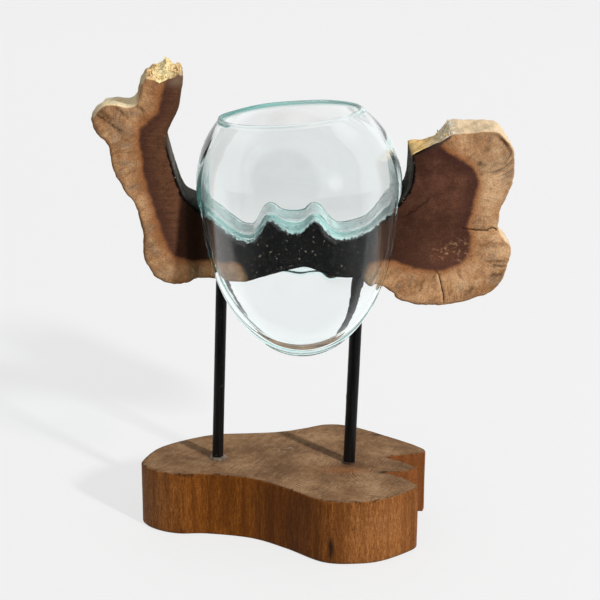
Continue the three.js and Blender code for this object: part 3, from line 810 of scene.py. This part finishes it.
# Heights of the torn tip along its front and its back, and how far the notch rises in front.
TORN_FRONT = [-97, -91, -85, -79, -74, -69], [349.5, 350, 347.5, 350, 352.5, 355.5]
TORN_BACK = [-97, -92, -87, -81, -76, -69], [349, 352, 354, 358.5, 354.5, 354]
CHOP_RISE = [91, 93, 102, 111, 118, 123], [0, 1, 3.2, 4, 2.2, 0]
# What the back's own outline has more or less than the front's.
BACK_RISES = [(-3, (-126, 330), (13, 9)), (2.5, (93, 295), (8, 8)), (2.5, (125, 310), (9, 7))]
BACK_SPREAD = [(5, (152, 307), (13, 11))]


def left_wing(shares):
    return np.array(shares) * LEFT_WING + (VASE_AXIS - BELLY_RADIUS, SEAT)


def right_wing(shares):
    return np.array(shares) * RIGHT_WING + (VASE_AXIS + BELLY_RADIUS, SEAT)


def under_vase(shares):
    return np.array(shares) * (BELLY_RADIUS, SADDLE_PEAK) + (VASE_AXIS, SEAT)


saddle = drawn_line(under_vase(SADDLE_EDGE), 1.0)
inner_left = drawn_line(np.vstack([saddle[:1], left_wing(LEFT_WING_INSIDE)]), 1.5)[:0:-1]
inner_right = drawn_line(np.vstack([right_wing(RIGHT_WING_INSIDE), saddle[-1:]]), 1.5)[-2::-1]
lines = [
    ("char", inner_left), ("char", saddle), ("char", inner_right),
    ("chop", drawn_line(right_wing(RIGHT_WING_NOTCH)[::-1], 1.2, straight=True)),
    ("bark", drawn_line(right_wing(RIGHT_WING_OUTSIDE), 1.5)[::-1]),
    ("bark", drawn_line(under_vase(UNDERSIDE), 1.5)[::-1]),
    ("bark", drawn_line(left_wing(LEFT_WING_OUTSIDE), 1.5)[::-1]),
    ("break", drawn_line(left_wing(LEFT_WING_BREAK)[::-1], 1.0, straight=True)),
]
outline, kind = [], []
for k, (label, line) in enumerate(lines):
    following = lines[(k + 1) % len(lines)][1][0]
    outline.append(np.vstack([line, drawn_line([line[-1], following], 1.5, straight=True)[1:-1]]))
    kind += [label] * len(outline[-1])
outline, kind = np.vstack(outline), np.array(kind)
is_char, is_chop, is_break = [(kind == label) * 1.0 for label in ("char", "chop", "break")]
facing = outline_facing(outline)

extra, seams = [], {}
for name, (line, width) in CRACKS.items():
    middle = drawn_line(line, 0.8)
    middle[1:-1] += 0.7 * jagged(middle, 2.6, (41, 42))[1:-1]
    seams[name] = middle, width
    across = unit(np.gradient(middle, axis=0)[:, ::-1] * (1, -1))
    extra += [middle + across * width * k for k in (-1.6, -0.7, 0, 0.7, 1.6)]
arris = np.where(is_chop + is_break > 0, RAW_ARRIS, SLAB_ARRIS)
points, triangles, around, bark, edge, side = sawn_slice(
    outline, SLAB_THICKNESS, arris, SLAB_SPACING, np.vstack(extra))


def slope(value, start, end):
    """0 where a value has reached the start, 1 where it has reached the end."""
    return np.clip((value - start) / (end - start), 0, 1)


def from_outline(values, reach=0.0):
    """Values along the outline, spread over the sides and a little way on to the faces."""
    for _ in range(3):
        values = (np.roll(values, 1) + 2 * values + np.roll(values, -1)) / 4
    spread = along_outline(outline, values, around)
    return spread * (side + (1 - side) * (np.exp(-bark / reach) if reach else 0))


flat = points[:, :2]
x, z = flat[:, 0], flat[:, 1]
behind = points[:, 2] / SLAB_THICKNESS
front = behind < 0.1
on_face = 1 - side
heart = np.full(len(points), -99.0)
for loop in (LEFT_HEART, RIGHT_HEART):
    loop = np.array(loop, float)
    gap = nearest_on(loop, flat, True)[0]
    heart = np.maximum(heart, np.where(inside(loop, flat), gap, -gap))

# What the glass burnt, and the vase's shadow painted on the left wing, from the valley outwards.
scorched = np.where(x < VASE_AXIS, np.interp(z, *SCORCH_LEFT), np.interp(z, *SCORCH_RIGHT))
scorched = slope(scorched - np.abs(x - VASE_AXIS), 0, SCORCH_FADE) * (z < SCORCH_TOP)
burnt = np.maximum(from_outline(is_char, 1.0), scorched)
burnt = np.maximum(burnt, 0.8 * from_outline(is_chop, 2.2) * (side < 0.1) * (x < 121))
# Painted shadow: the edge of the vase's cast shadow on the left wing's face.
left_in_vase_shadow = slope(x - 0.11 * (z - 195), -82, -79.5)
# Behind that edge the heart darkens as char and painted shadow together; on the right it darkens towards the
# glass.
toasted = np.where(x < 0, left_in_vase_shadow, 0.6 * slope(x, 110, 78)) * on_face
# Painted shadow: the vase's cast shadow darkens the left wing's sapwood, most strongly near its edge.
dusky = np.where(x < 0, left_in_vase_shadow * np.interp(x, [-70, -58], [1, 0.35]), 0)

# What is broken, chopped, bleached or cracked.
broken = from_outline(is_break, 0.7)
chopped = from_outline(is_chop) * (side > 0.4)
on_right_wing, on_left_tip = outline[:, 0] > 88, outline[:, 1] > SEAT + 120
up_facing = slope(facing[:, 1], 0.1, 0.6) * (on_right_wing | on_left_tip)
out_facing = 0.2 * slope(facing[:, 0], 0, 1) * on_right_wing
bleached = from_outline(np.maximum(up_facing, out_facing) * (kind == "bark"), 0.8)
bleached *= slope(side, 0.6, 0.95)
bleached = np.maximum(bleached, patches(flat, BLEACHED_FACE) * on_face * slope(heart, 0, -5))
crack, deep = np.zeros(len(points)), np.zeros(len(points))
for name, (line, width) in seams.items():
    gap, along = nearest_on(line, flat, False)
    length = np.linalg.norm(np.diff(line, axis=0), axis=1).sum()
    open_by = width * (0.45 + 0.55 * np.sin(np.pi * np.clip(along / length, 0, 1)))
    seam = slope(gap / open_by, 1.5, 0.5) * (points[:, 2] < CRACK_DEPTH)
    crack = np.maximum(crack, seam * (0.55 if name == "heart" else 1))
    deep = np.maximum(deep, seam * (0 if name == "heart" else 1.3))

# The surface: rippled bark, a charred valley, the torn tip, the chopped notch, and the back's own outline.
wood = np.column_stack([x, points[:, 2] - SLAB_THICKNESS / 2, z])
natural = side * (1 - burnt) * (1 - broken) * (1 - chopped)
push = natural * (1.2 * lumps(wood * (1, 0.5, 1), 17, 31) + 0.85 * lumps(wood * (1, 0.6, 1), 6.5, 32))
push += natural * 0.45 * lumps(wood * (1, 0.35, 1), 2.4, 33) + on_face * 0.18 * lumps(wood, 28, 34)
push -= side * burnt * np.abs(0.5 * lumps(wood, 6, 35)) + deep
push += chopped * (0.7 * lumps(wood, 7, 36) + 0.5 * lumps(wood, 2.6, 37))
wood = wood + outwards_of(points, triangles)[:, [0, 2, 1]] * push[:, None]
torn = np.interp(x, *TORN_FRONT) * (1 - behind) + np.interp(x, *TORN_BACK) * behind
torn += 1.3 * lumps(wood, 5.0, 38) + 1.1 * lumps(wood, 2.6, 39)
wood[:, 2] += from_outline(is_break, 12.0) * (torn - along_outline(outline, outline[:, 1], around))
wood[:, 2] += from_outline(is_chop, 9.0) * np.interp(x, *CHOP_RISE) * (1 - behind)
wood[:, 2] += patches(flat, BACK_RISES) * behind
wing_starts = VASE_AXIS - BELLY_RADIUS
slant = LEFT_WING_SLANT * slope(x, wing_starts, wing_starts - LEFT_WING_SLANT)
wood[:, 0] += (patches(flat, BACK_SPREAD) - slant) * behind

root, tree, shader = new_material("root wood")
place, figure, saw = wood_nodes((620, 40, 620), 2.2, (0, 0.7, 0), (22, 0, 760))
heart_depth = calc("ADD", eye("heart"), ramp(grain(place, 60, 3), 0.2, 0.8, -1.6, 1.6))
height = axis(place, "Z")
leftwards = ramp(axis(place, "X"), 0.02, -0.06)
uneven = ramp(grain(place, 150, 5, 0.7), 0.3, 0.7, 0, 1)
grey = strongest(times(ramp(grain(place, 62, 5, 0.65), 0.5, 0.66), 0.6), eye("smudge"))
sap = coats(
    shades(figure["Blotch"], (152, 108, 71), (189, 143, 101), (222, 178, 134)),
    (times(leftwards, ramp(height, 0.23, 0.195)), (212, 210, 208), "MULTIPLY"),
    (leftwards, (246, 243, 238), "MULTIPLY"),
    (ramp(uneven, 0.5, 0, 0, 0.5), (118, 82, 54)),
    (ramp(uneven, 0.55, 1, 0, 0.45), (216, 180, 140)),
    (times(grey, 0.8), (120, 104, 90)),
    (times(figure["Rays"], ramp(eye("bark"), 28, 2), 0.75), (88, 57, 34)),
    (times(figure["Rings"], 0.14), (116, 78, 48)),
    (ramp(heart_depth, -14, -4, 0, 0.14), (146, 100, 68)),
    (times(ramp(heart_depth, -8, -0.5), 0.7), (146, 88, 48)),
    # painted shadow of the vase on the left sapwood
    (eye("dusky"), (176, 166, 156), "MULTIPLY"),
)
wrinkles = grain(stretched(place, (45, 0, 1100)), 1.0, 4, 0.65)
drawn_in = ramp(leftwards, 0, 1, 0.3, 1)
core = coats(
    shades(figure["Blotch"], (56, 34, 26), (79, 50, 38), (105, 68, 52)),
    (times(leftwards, 0.65), (108, 72, 49)),
    (times(ramp(wrinkles, 0.5, 0.66, 0, 0.6), drawn_in), (52, 32, 22)),
    (times(ramp(wrinkles, 0.48, 0.34, 0, 0.35), drawn_in), (124, 86, 64)),
    (ramp(uneven, 0.5, 0, 0, 0.4), (54, 33, 27)),
    (ramp(uneven, 0.55, 1, 0, 0.35), (112, 74, 58)),
    (ramp(heart_depth, 12, 1, 0, 0.6), (66, 40, 36)),
    (times(saw["Scores"], 0.3), (52, 32, 23)),
    (ramp(height, 0.25, 0.215, 0, 0.3), (114, 75, 58)),
    # char and painted shadow: the left heart inside the vase's cast shadow, the right heart towards the glass
    (eye("toasted"), (40, 23, 16)),
)
scored = times(saw["Scores"], ramp(grey, 0, 1, 0.3, 0.85), ramp(eye("toasted"), 0.8, 0.3, 0.2, 1))
from_hub = node("VectorMath", {0: place, 1: SAW_HUB}, operation="DISTANCE")["Value"]
swept = node("CombineXYZ", {0: times(from_hub, 620), 1: times(height, 26)})[0]
face = coats(
    sap,
    (ramp(heart_depth, -2.4, 1.4), core),
    (ramp(figure["Pores"], 0.5, 0.75, 0, 0.4), (66, 42, 27)),
    (scored, (88, 64, 46)),
    (times(ramp(grain(swept, 1.0, 3, 0.6), 0.54, 0.64), eye("arcs")), (74, 47, 29)),
    (eye("streak"), (70, 46, 29)),
    (1.0, ramp(grain(place, 1150, 3, 0.7), 0.3, 0.7, 0.78, 1.24), "MULTIPLY"),
)
skin = coats(
    shades(figure["Fibres"], (116, 80, 50), (160, 116, 74), (190, 146, 100)),
    (times(grey, 0.5), (122, 104, 88)),
)
crumb = grain(place, 330, 5, 0.7)
pale = coats(
    shades(figure["Fibres"], (218, 184, 142), (240, 212, 172), (250, 232, 202)),
    # painted light: on the left the bleached wood is raised further so that the knob's top strip looks lit
    # where the stem shades it
    (leftwards, shades(crumb, (236, 192, 134), (255, 236, 192), (255, 248, 222))),
)
fresh = coats(
    shades(crumb, (138, 88, 46), (232, 190, 132), (252, 228, 180)),
    (eye("creamy"), shades(crumb, (236, 206, 136), (254, 236, 178), (255, 244, 208))),
)
hole = times(ramp(grain(place, 420, 3, 0.6), 0.4, 0.33), eye("broken"), ramp(eye("creamy"), 0, 1, 0.9, 0.2))
# Partly painted light: the chopped wood's orange and cream are raised so that the notch looks lit where it
# turns from the lamp.
cut = coats(
    shades(crumb, (226, 150, 74), (255, 214, 136), (255, 240, 190)),
    (ramp(height, 0.298, 0.306), shades(crumb, (186, 146, 104), (255, 240, 208), (255, 250, 236))),
)
stem = ramp(height, 0.296, 0.31)
smoked = coats(shades(figure["Fibres"], (58, 53, 48), (92, 86, 79), (124, 117, 108)), (stem, (84, 57, 41)))
soot = coats(
    shades(grain(place, 130, 5, 0.65), (4, 4, 3), (8, 7, 7), (24, 21, 19)),
    (times(ramp(height, 0.236, 0.3), strongest(eye("side"), stem)), smoked),
)
scorch = calc("ADD", eye("burnt"), times(grey, 0.12))
ash = times(ramp(grain(place, 430, 2, 0.5), 0.685, 0.72), ramp(eye("burnt"), 0.6, 0.9, 0, 0.85))
colour = coats(
    face,
    (ramp(eye("side"), 0.35, 0.85), skin),
    (ramp(eye("edge"), 0.8, 0, 0, 0.2), (96, 64, 42)),
    (eye("bleached"), pale),
    (ramp(eye("broken"), 0.2, 0.5), fresh),
    (hole, (92, 52, 22)),
    (eye("chopped"), cut),
    (ramp(scorch, 0.2, 0.75), soot),
    (eye("smoke"), (134, 110, 90)),
    (eye("knot"), (58, 38, 26)),
    (times(ramp(grain(place, 300, 4, 0.75), 0.54, 0.61), eye("scratch")), (168, 130, 98)),
    (ash, (150, 132, 114)),
    (eye("crack"), (26, 15, 10)),
)
fill(shader, {
    "Base Color": colour, "Roughness": ramp(figure["Pores"], 0.3, 0.7, 0.66, 0.84),
    "Specular IOR Level": 0.05, "Normal": bumps(figure["Height"], 0.4, 0.0012),
})

root_slab = new_piece("root_slab", wood, triangles[:, ::-1], root)
knot = patches(flat, KNOTS, np.maximum.reduce) * on_face * front
knot = np.maximum(knot, patches(flat, RIM_KNOT) * slope(edge, 1.26, 0.36) * front)
streak = np.zeros(len(points))
wavering = flat + 0.5 * lumps(wood, 5, 44)[:, None]
for start, end, width, strength in DARK_RAYS:
    gap, along = nearest_on(np.array([start, end], float), wavering, False)
    streak = np.maximum(streak, strength * np.exp(-((gap / width) ** 2)))
smudge = patches(flat, SMUDGES, np.maximum.reduce) * (0.95 + 0.6 * lumps(wood, 3, 45))
mark(root_slab, bark=bark, around=around, edge=edge, side=side, heart=heart, burnt=burnt, broken=broken,
     chopped=chopped, bleached=np.clip(bleached, 0, 1), crack=crack, knot=knot, toasted=toasted, dusky=dusky,
     scratch=0.85 * np.clip(patches(flat, SCRATCHES), 0, 1) * front,
     arcs=np.clip(patches(flat, SAW_ARCS), 0, 1) * on_face * front,
     streak=streak * on_face * front, smudge=np.clip(smudge, 0, 1) * on_face,
     smoke=patches(flat, SMOKE) * front, creamy=np.clip(patches(flat, CREAM), 0, 1))
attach(root_slab, "stand")
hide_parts("root_wood_slab")

# Slivers: the torn wood stands up in small splinters at the broken tip and at the chopped notch.
# They are the slab's own wood, so each one grows out of the torn surface.
SLIVER_WIDTH = 0.0011
SLIVER_LEAN = 0.55
SLIVER_LOOK = {"broken": 1.0, "heart": -99.0, "side": 1.0, "bark": 5.0, "edge": 9.0, "creamy": 0.5}
SLIVERS = {  # where they stand, how many to the square metre, how long, and the seed
    "tip": (broken * side, 6.0e4, 0.0042, 3),
    "notch": (chopped * (x > 113), 3.0e4, 0.003, 8),
}

torn_slivers, given, result = new_group(
    "torn slivers", "GeometryNodeTree",
    {"Torn": "Geometry", "Density": "Float", "Width": "Float", "Length": "Float", "Lean": "Float",
     "Seed": "Int", "Wood": "Material"},
    {"Geometry": "Geometry"},
)
tree = torn_slivers
sockets = {"Mesh": given["Torn"], "Density": given["Density"], "Seed": given["Seed"]}
spots = node("DistributePointsOnFaces", sockets, geo)["Points"]
sliver = node("MeshCone", {"Vertices": 5, "Radius Top": 0.1, "Radius Bottom": 0.5, "Depth": 1.0}, geo)[0]
lean, other_way = given["Lean"], times(given["Lean"], -1)
low = node("CombineXYZ", {0: other_way, 1: other_way, 2: 0.0})[0]
high = node("CombineXYZ", {0: lean, 1: lean, 2: 6.283})[0]
size = node("CombineXYZ", {0: given["Width"], 1: given["Width"], 2: given["Length"]})[0]
smallest, largest = stretched(size, (0.5, 0.5, 0.25)), stretched(size, (1.3, 1.3, 1.0))
sockets = {"Points": spots, "Instance": sliver}
for name, least, most in (("Rotation", low, high), ("Scale", smallest, largest)):
    limits = {0: least, 1: most, "Seed": given["Seed"]}
    sockets[name] = node("RandomValue", limits, "FunctionNode", data_type="FLOAT_VECTOR")[0]
grove = node("InstanceOnPoints", sockets, geo)[0]
fill(result, finished(grove, given["Wood"], **SLIVER_LOOK))

for name, (mask, density, length, seed) in SLIVERS.items():
    chosen = triangles[:, ::-1][(mask[triangles] > 0.9).all(1)]
    used, renumbered = np.unique(chosen, return_inverse=True)
    bed = bpy.data.meshes.new(name + "_bed")
    bed.from_pydata((wood[used] * 0.001).tolist(), [], renumbered.reshape(-1, 3).tolist())
    slivers = grown(name + "_slivers", bed, torn_slivers, Density=density, Width=SLIVER_WIDTH, Length=length,
                    Lean=SLIVER_LEAN, Seed=seed, Wood=root)
    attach(slivers, "stand")

# The vase: one skin of clear recycled glass, blown and then slumped over the slab while hot, so that it hangs
# astride the wood with a deep lobe in front, a shallow one behind and a thick fold on the burnt valley.
# It is slightly sea-green in its depth and lifts off. Where it lay on the wood it is dull underneath, and a
# teal film there is also painted reflection of light inside the fold.
BELLY_HEIGHT = 68
RIM_RADIUS = 52.5
RIM_HEIGHT = 119
RIM_SHIFT = -6
RIM_TILT = math.radians(4.4)
FRONT_LOBE_DROP = 48
REAR_LOBE_DROP = 17
LOBE_SHIFT = 5.5
LOBE_FULLNESS = 0.72
GLASS_WALL = 3.5
FOLD_WALL = 2.8
LOBE_FLOOR = 7
CONTACT_INSET = 3
FOLD_HALF = SLAB_THICKNESS / 2 + 1
FOLD_ROUND = 3
SEAT_GAP = 0.5
LIP_STEPS = 11
WAVES = 0.55
WAVE_CENTRE = (0, 0, 55)
BRIDGE = (-4, 15.5, 45.7, 4.6)  # the glass between the two peaks: middle, half length, height and sag

# The columns of the skin go round it, close together at the two ends of the wood.
ends = np.radians(19) * (1 - (1 - np.linspace(0, 1, 12)) ** 1.8)
middle = np.arccos(np.cos(ends[-1]) * (1 - np.linspace(0, 1, 45)[1:]))
half = np.concatenate([ends, middle])
half = np.concatenate([half, np.pi - half[-2::-1]])
COLUMNS = np.concatenate([half, 2 * np.pi - half[-2:0:-1]])


def resting_line(gap):
    """The line that a thickness of glass makes over the valley, at each half millimetre along it."""
    along = np.arange(saddle[0, 0], saddle[-1, 0], 0.5)
    level = np.interp(along, saddle[:, 0], saddle[:, 1])
    apart = along[:, None] - along[None]
    round_it = level[None] + np.sqrt(np.maximum(gap**2 - apart**2, 0))
    lifted = np.where(np.abs(apart) < gap, round_it, -1e9).max(1)
    along, lifted = along - VASE_AXIS, lifted - SEAT
    if gap > 1:  # the thick glass bridges the dip between the two peaks
        middle, reach, top, sag = BRIDGE
        bridge = top + gap - sag * (1 - ((along - middle) / reach) ** 2)
        lifted = np.maximum(lifted, np.where(np.abs(along - middle) < reach, bridge, 0))
    return along, lifted


def lobe_column(turn, belly, contact, fold_half, fold_round, rest, drops):
    """One upright line of the skin below the belly: down a lobe, up along the wood, over it to the middle."""
    start = np.array([belly * np.cos(turn), belly * np.sin(turn), BELLY_HEIGHT])
    x = contact * np.cos(turn)
    wall = np.clip(contact * np.sin(turn), -fold_half, fold_half)
    flat = fold_half - fold_round

    def on_saddle(px, y):
        past = slope(np.abs(y), flat, fold_half)
        return np.interp(px, *rest) - fold_round * (1 - np.sqrt(1 - past**2))

    wall_top = on_saddle(x, wall)
    end_cosine = math.sqrt(1 - (fold_half / contact) ** 2)
    lobe_share = math.sqrt(max(0, 1 - (np.cos(turn) / end_cosine) ** 2))
    left, right = on_saddle(-contact * end_cosine, fold_half), on_saddle(contact * end_cosine, fold_half)
    end = left + (right - left) * (1 + np.cos(turn) / end_cosine) / 2
    drop = drops[0] if np.sin(turn) < 0 else drops[1]
    lowest = end - (end + drop) * lobe_share if lobe_share > 0 else wall_top
    shift = LOBE_SHIFT * math.sqrt(lobe_share) * (1 - np.cos(turn)) / 2
    bottom = np.array([(start[0] + x) / 2 + shift, (start[1] + wall) / 2, lowest])
    even = np.linspace(0, 1, 19)[1:] ** (1 / LOBE_FULLNESS)
    angle = np.sort(np.concatenate([np.arcsin(even[:-1]), np.pi / 2 - np.arcsin(even[:-1]), [np.pi / 2]]))
    down = np.maximum(np.sin(angle), 0) ** LOBE_FULLNESS
    across = 1 - np.maximum(np.cos(angle), 0) ** LOBE_FULLNESS
    outside = start + (bottom - start) * np.column_stack([across, across, down])
    up_side = bottom + (np.array([x, wall, wall_top]) - bottom) * np.column_stack([down, down, across])
    shares = np.array([0.985, 0.94, 0.9, flat / fold_half, 0.65, 0.4, 0.2, 0])
    over = np.column_stack([np.full(8, x), wall * shares, on_saddle(x, wall * shares)])
    line = np.vstack([outside, up_side, over])
    lies = np.abs(line[:, 1]) < fold_half
    line[lies, 2] = np.maximum(line[lies, 2], on_saddle(line[lies, 0], line[lies, 1]))
    return line


def vase_skin(inwards, fold_wall, floor):
    """One skin of the vase, as rings from the rim down: the outer one, or the inner one a wall further in."""
    belly, rim = BELLY_RADIUS - inwards, RIM_RADIUS - inwards
    rim_angle = math.acos(rim / belly)
    shoulder = (RIM_HEIGHT - BELLY_HEIGHT) / math.sin(rim_angle)
    rings = []
    for angle in np.linspace(rim_angle, 0, 25):
        share = math.sin(angle) / math.sin(rim_angle)
        x = belly * math.cos(angle) * np.cos(COLUMNS)
        y = belly * math.cos(angle) * np.sin(COLUMNS)
        up = BELLY_HEIGHT + shoulder * math.sin(angle) + x * math.tan(RIM_TILT * share)
        rings.append(np.column_stack([x + RIM_SHIFT * share**2, y, up]))
    fold = FOLD_HALF + fold_wall, FOLD_ROUND + 2.5 * fold_wall
    rest, drops = resting_line(SEAT_GAP + fold_wall), (FRONT_LOBE_DROP - floor, REAR_LOBE_DROP - floor)
    columns = [lobe_column(turn, belly, belly - CONTACT_INSET, *fold, rest, drops) for turn in COLUMNS]
    return rings + list(np.stack(columns, 1))


outer, inner = vase_skin(0, 0, 0), vase_skin(GLASS_WALL, FOLD_WALL, LOBE_FLOOR)
lip = []
for angle in np.linspace(0, np.pi, LIP_STEPS)[1:-1]:
    ring = inner[0] + (outer[0] - inner[0]) * (1 + math.cos(angle)) / 2
    lip.append(ring + (0, 0, GLASS_WALL / 2 * math.sin(angle)))
rings = outer[::-1] + lip + inner
count = len(COLUMNS)
skin = np.repeat([0] * len(outer) + [0.5] * len(lip) + [1] * len(inner), count)
points = np.vstack(rings)

# Blown glass is never even: the free walls wave, and the inner skin sinks a little beside the wood.
away = np.abs(points[:, 1])
free = np.maximum(slope(away, 26, 38), slope(points[:, 2], 78, 98))
wobble = (skin < 0.6) * WAVES * lumps(points, 38, 51) + (skin > 0.4) * WAVES * lumps(points, 30, 52)
points = points + unit(points - WAVE_CENTRE) * (free * wobble)[:, None]
away = np.abs(points[:, 1])
sunk_side = (skin > 0.9) * slope(away, 35, 30) * slope(away, 22, 26)
sunk_side *= slope(np.abs(points[:, 0]), 58, 46) * slope(points[:, 2], -10, 5)
points[:, 1] += np.sign(points[:, 1]) * sunk_side * (0.9 + 0.9 * lumps(points, 11, 53))

clear_glass, tree, shader = new_material("clear glass")
place = node("TexCoord")["Object"]
along = axis(place, "X")
rightwards, right_end = ramp(along, -0.025, 0.03), ramp(along, 0.035, 0.07)
ragged = calc("ADD", eye("sunk"), ramp(grain(place, 260, 5, 0.7), 0.3, 0.7, -1.1, 1.1))
film = times(eye("under"), ramp(ragged, 1.5, 0.9), ramp(grain(place, 110, 4, 0.65), 0.3, 0.7, 0.4, 1.3))
rime = times(ramp(ragged, 0.4, 1.0), ramp(ragged, 2.1, 1.3), eye("under"))
rime = times(rime, ramp(grain(place, 480, 4, 0.65), 0.4, 0.6))
film_shows = strongest(ramp(rightwards, 0, 1, 0.58, 0.85), right_end)
frost = strongest(times(rime, 0.75), times(film, film_shows), times(eye("lip"), 0.5))
fill(shader, {
    "Base Color": coats(WHITE, (eye("lip"), (0.3, 0.64, 0.6, 1)), (film, (0.5, 0.86, 0.81, 1))),
    "Roughness": times(frost, 0.4), "Transmission Weight": 1, "IOR": 1.5,
})
# dull film and painted reflection: teal under the fold, paler to the right, standing for light that the thick
# glass reflects inside
film_and_reflection_colour = coats(
    (0.22, 0.46, 0.43, 1), (rightwards, (0.6, 0.82, 0.79, 1)), (right_end, (0.86, 0.96, 0.95, 1)),
    (rime, (0.7, 0.84, 0.82, 1)),
)
dull_film_and_painted_reflection = node("BsdfDiffuse", {"Color": film_and_reflection_colour})[0]
frosted = node("MixShader", {0: frost, 1: shader.outputs[0], 2: dull_film_and_painted_reflection})[0]
edge_on = node("LayerWeight", {"Blend": 0.5})["Facing"]
shade = coats((0.97, 0.98, 0.98, 1), (ramp(edge_on, 0.35, 0.9), (0.3, 0.36, 0.35, 1)))
clear = node("BsdfTransparent", {"Color": shade})[0]
surface = node("MixShader", {0: node("LightPath")["Is Shadow Ray"], 1: frosted, 2: clear})[0]
sea = node("VolumeAbsorption", {"Color": (0.2, 0.9, 0.85, 1), "Density": 8.5})[0]
fill(tree.nodes["Material Output"], {"Surface": surface, "Volume": sea})

faces = np.vstack(hoops(count, len(rings)))
vase = new_piece("blown_vase", points + (VASE_AXIS, 0, SEAT), faces, clear_glass)
away = np.abs(points[:, 1])
depth = np.interp(points[:, 0], *resting_line(SEAT_GAP)) - points[:, 2]
leaning = 0.9 * slope(depth, -34, -8) * slope(np.abs(points[:, 0]), 60, 68)
under = (skin < 0.5) * (away < FOLD_HALF + 0.2) * np.maximum(slope(depth, -5, -2), leaning)
under *= np.where(away < FOLD_HALF - 1.5, 0.9, 1)
lip_depth = np.concatenate([outer[0][:, 2]] * len(rings)) - points[:, 2]
far_lip = 0.06 + 0.94 * slope(points[:, 1], -30, 10)
mark(vase, sunk=np.clip(depth, -9, 9), under=under, lip=slope(lip_depth, 2.2, 0) * far_lip)
shell = bmesh.new()
shell.from_mesh(vase.data)
bmesh.ops.remove_doubles(shell, verts=shell.verts, dist=2e-6)
bmesh.ops.dissolve_degenerate(shell, edges=shell.edges, dist=1e-6)
shell.to_mesh(vase.data)
shell.free()
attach(vase, "vase")
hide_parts("glass_vase")

bpy.context.view_layer.update()
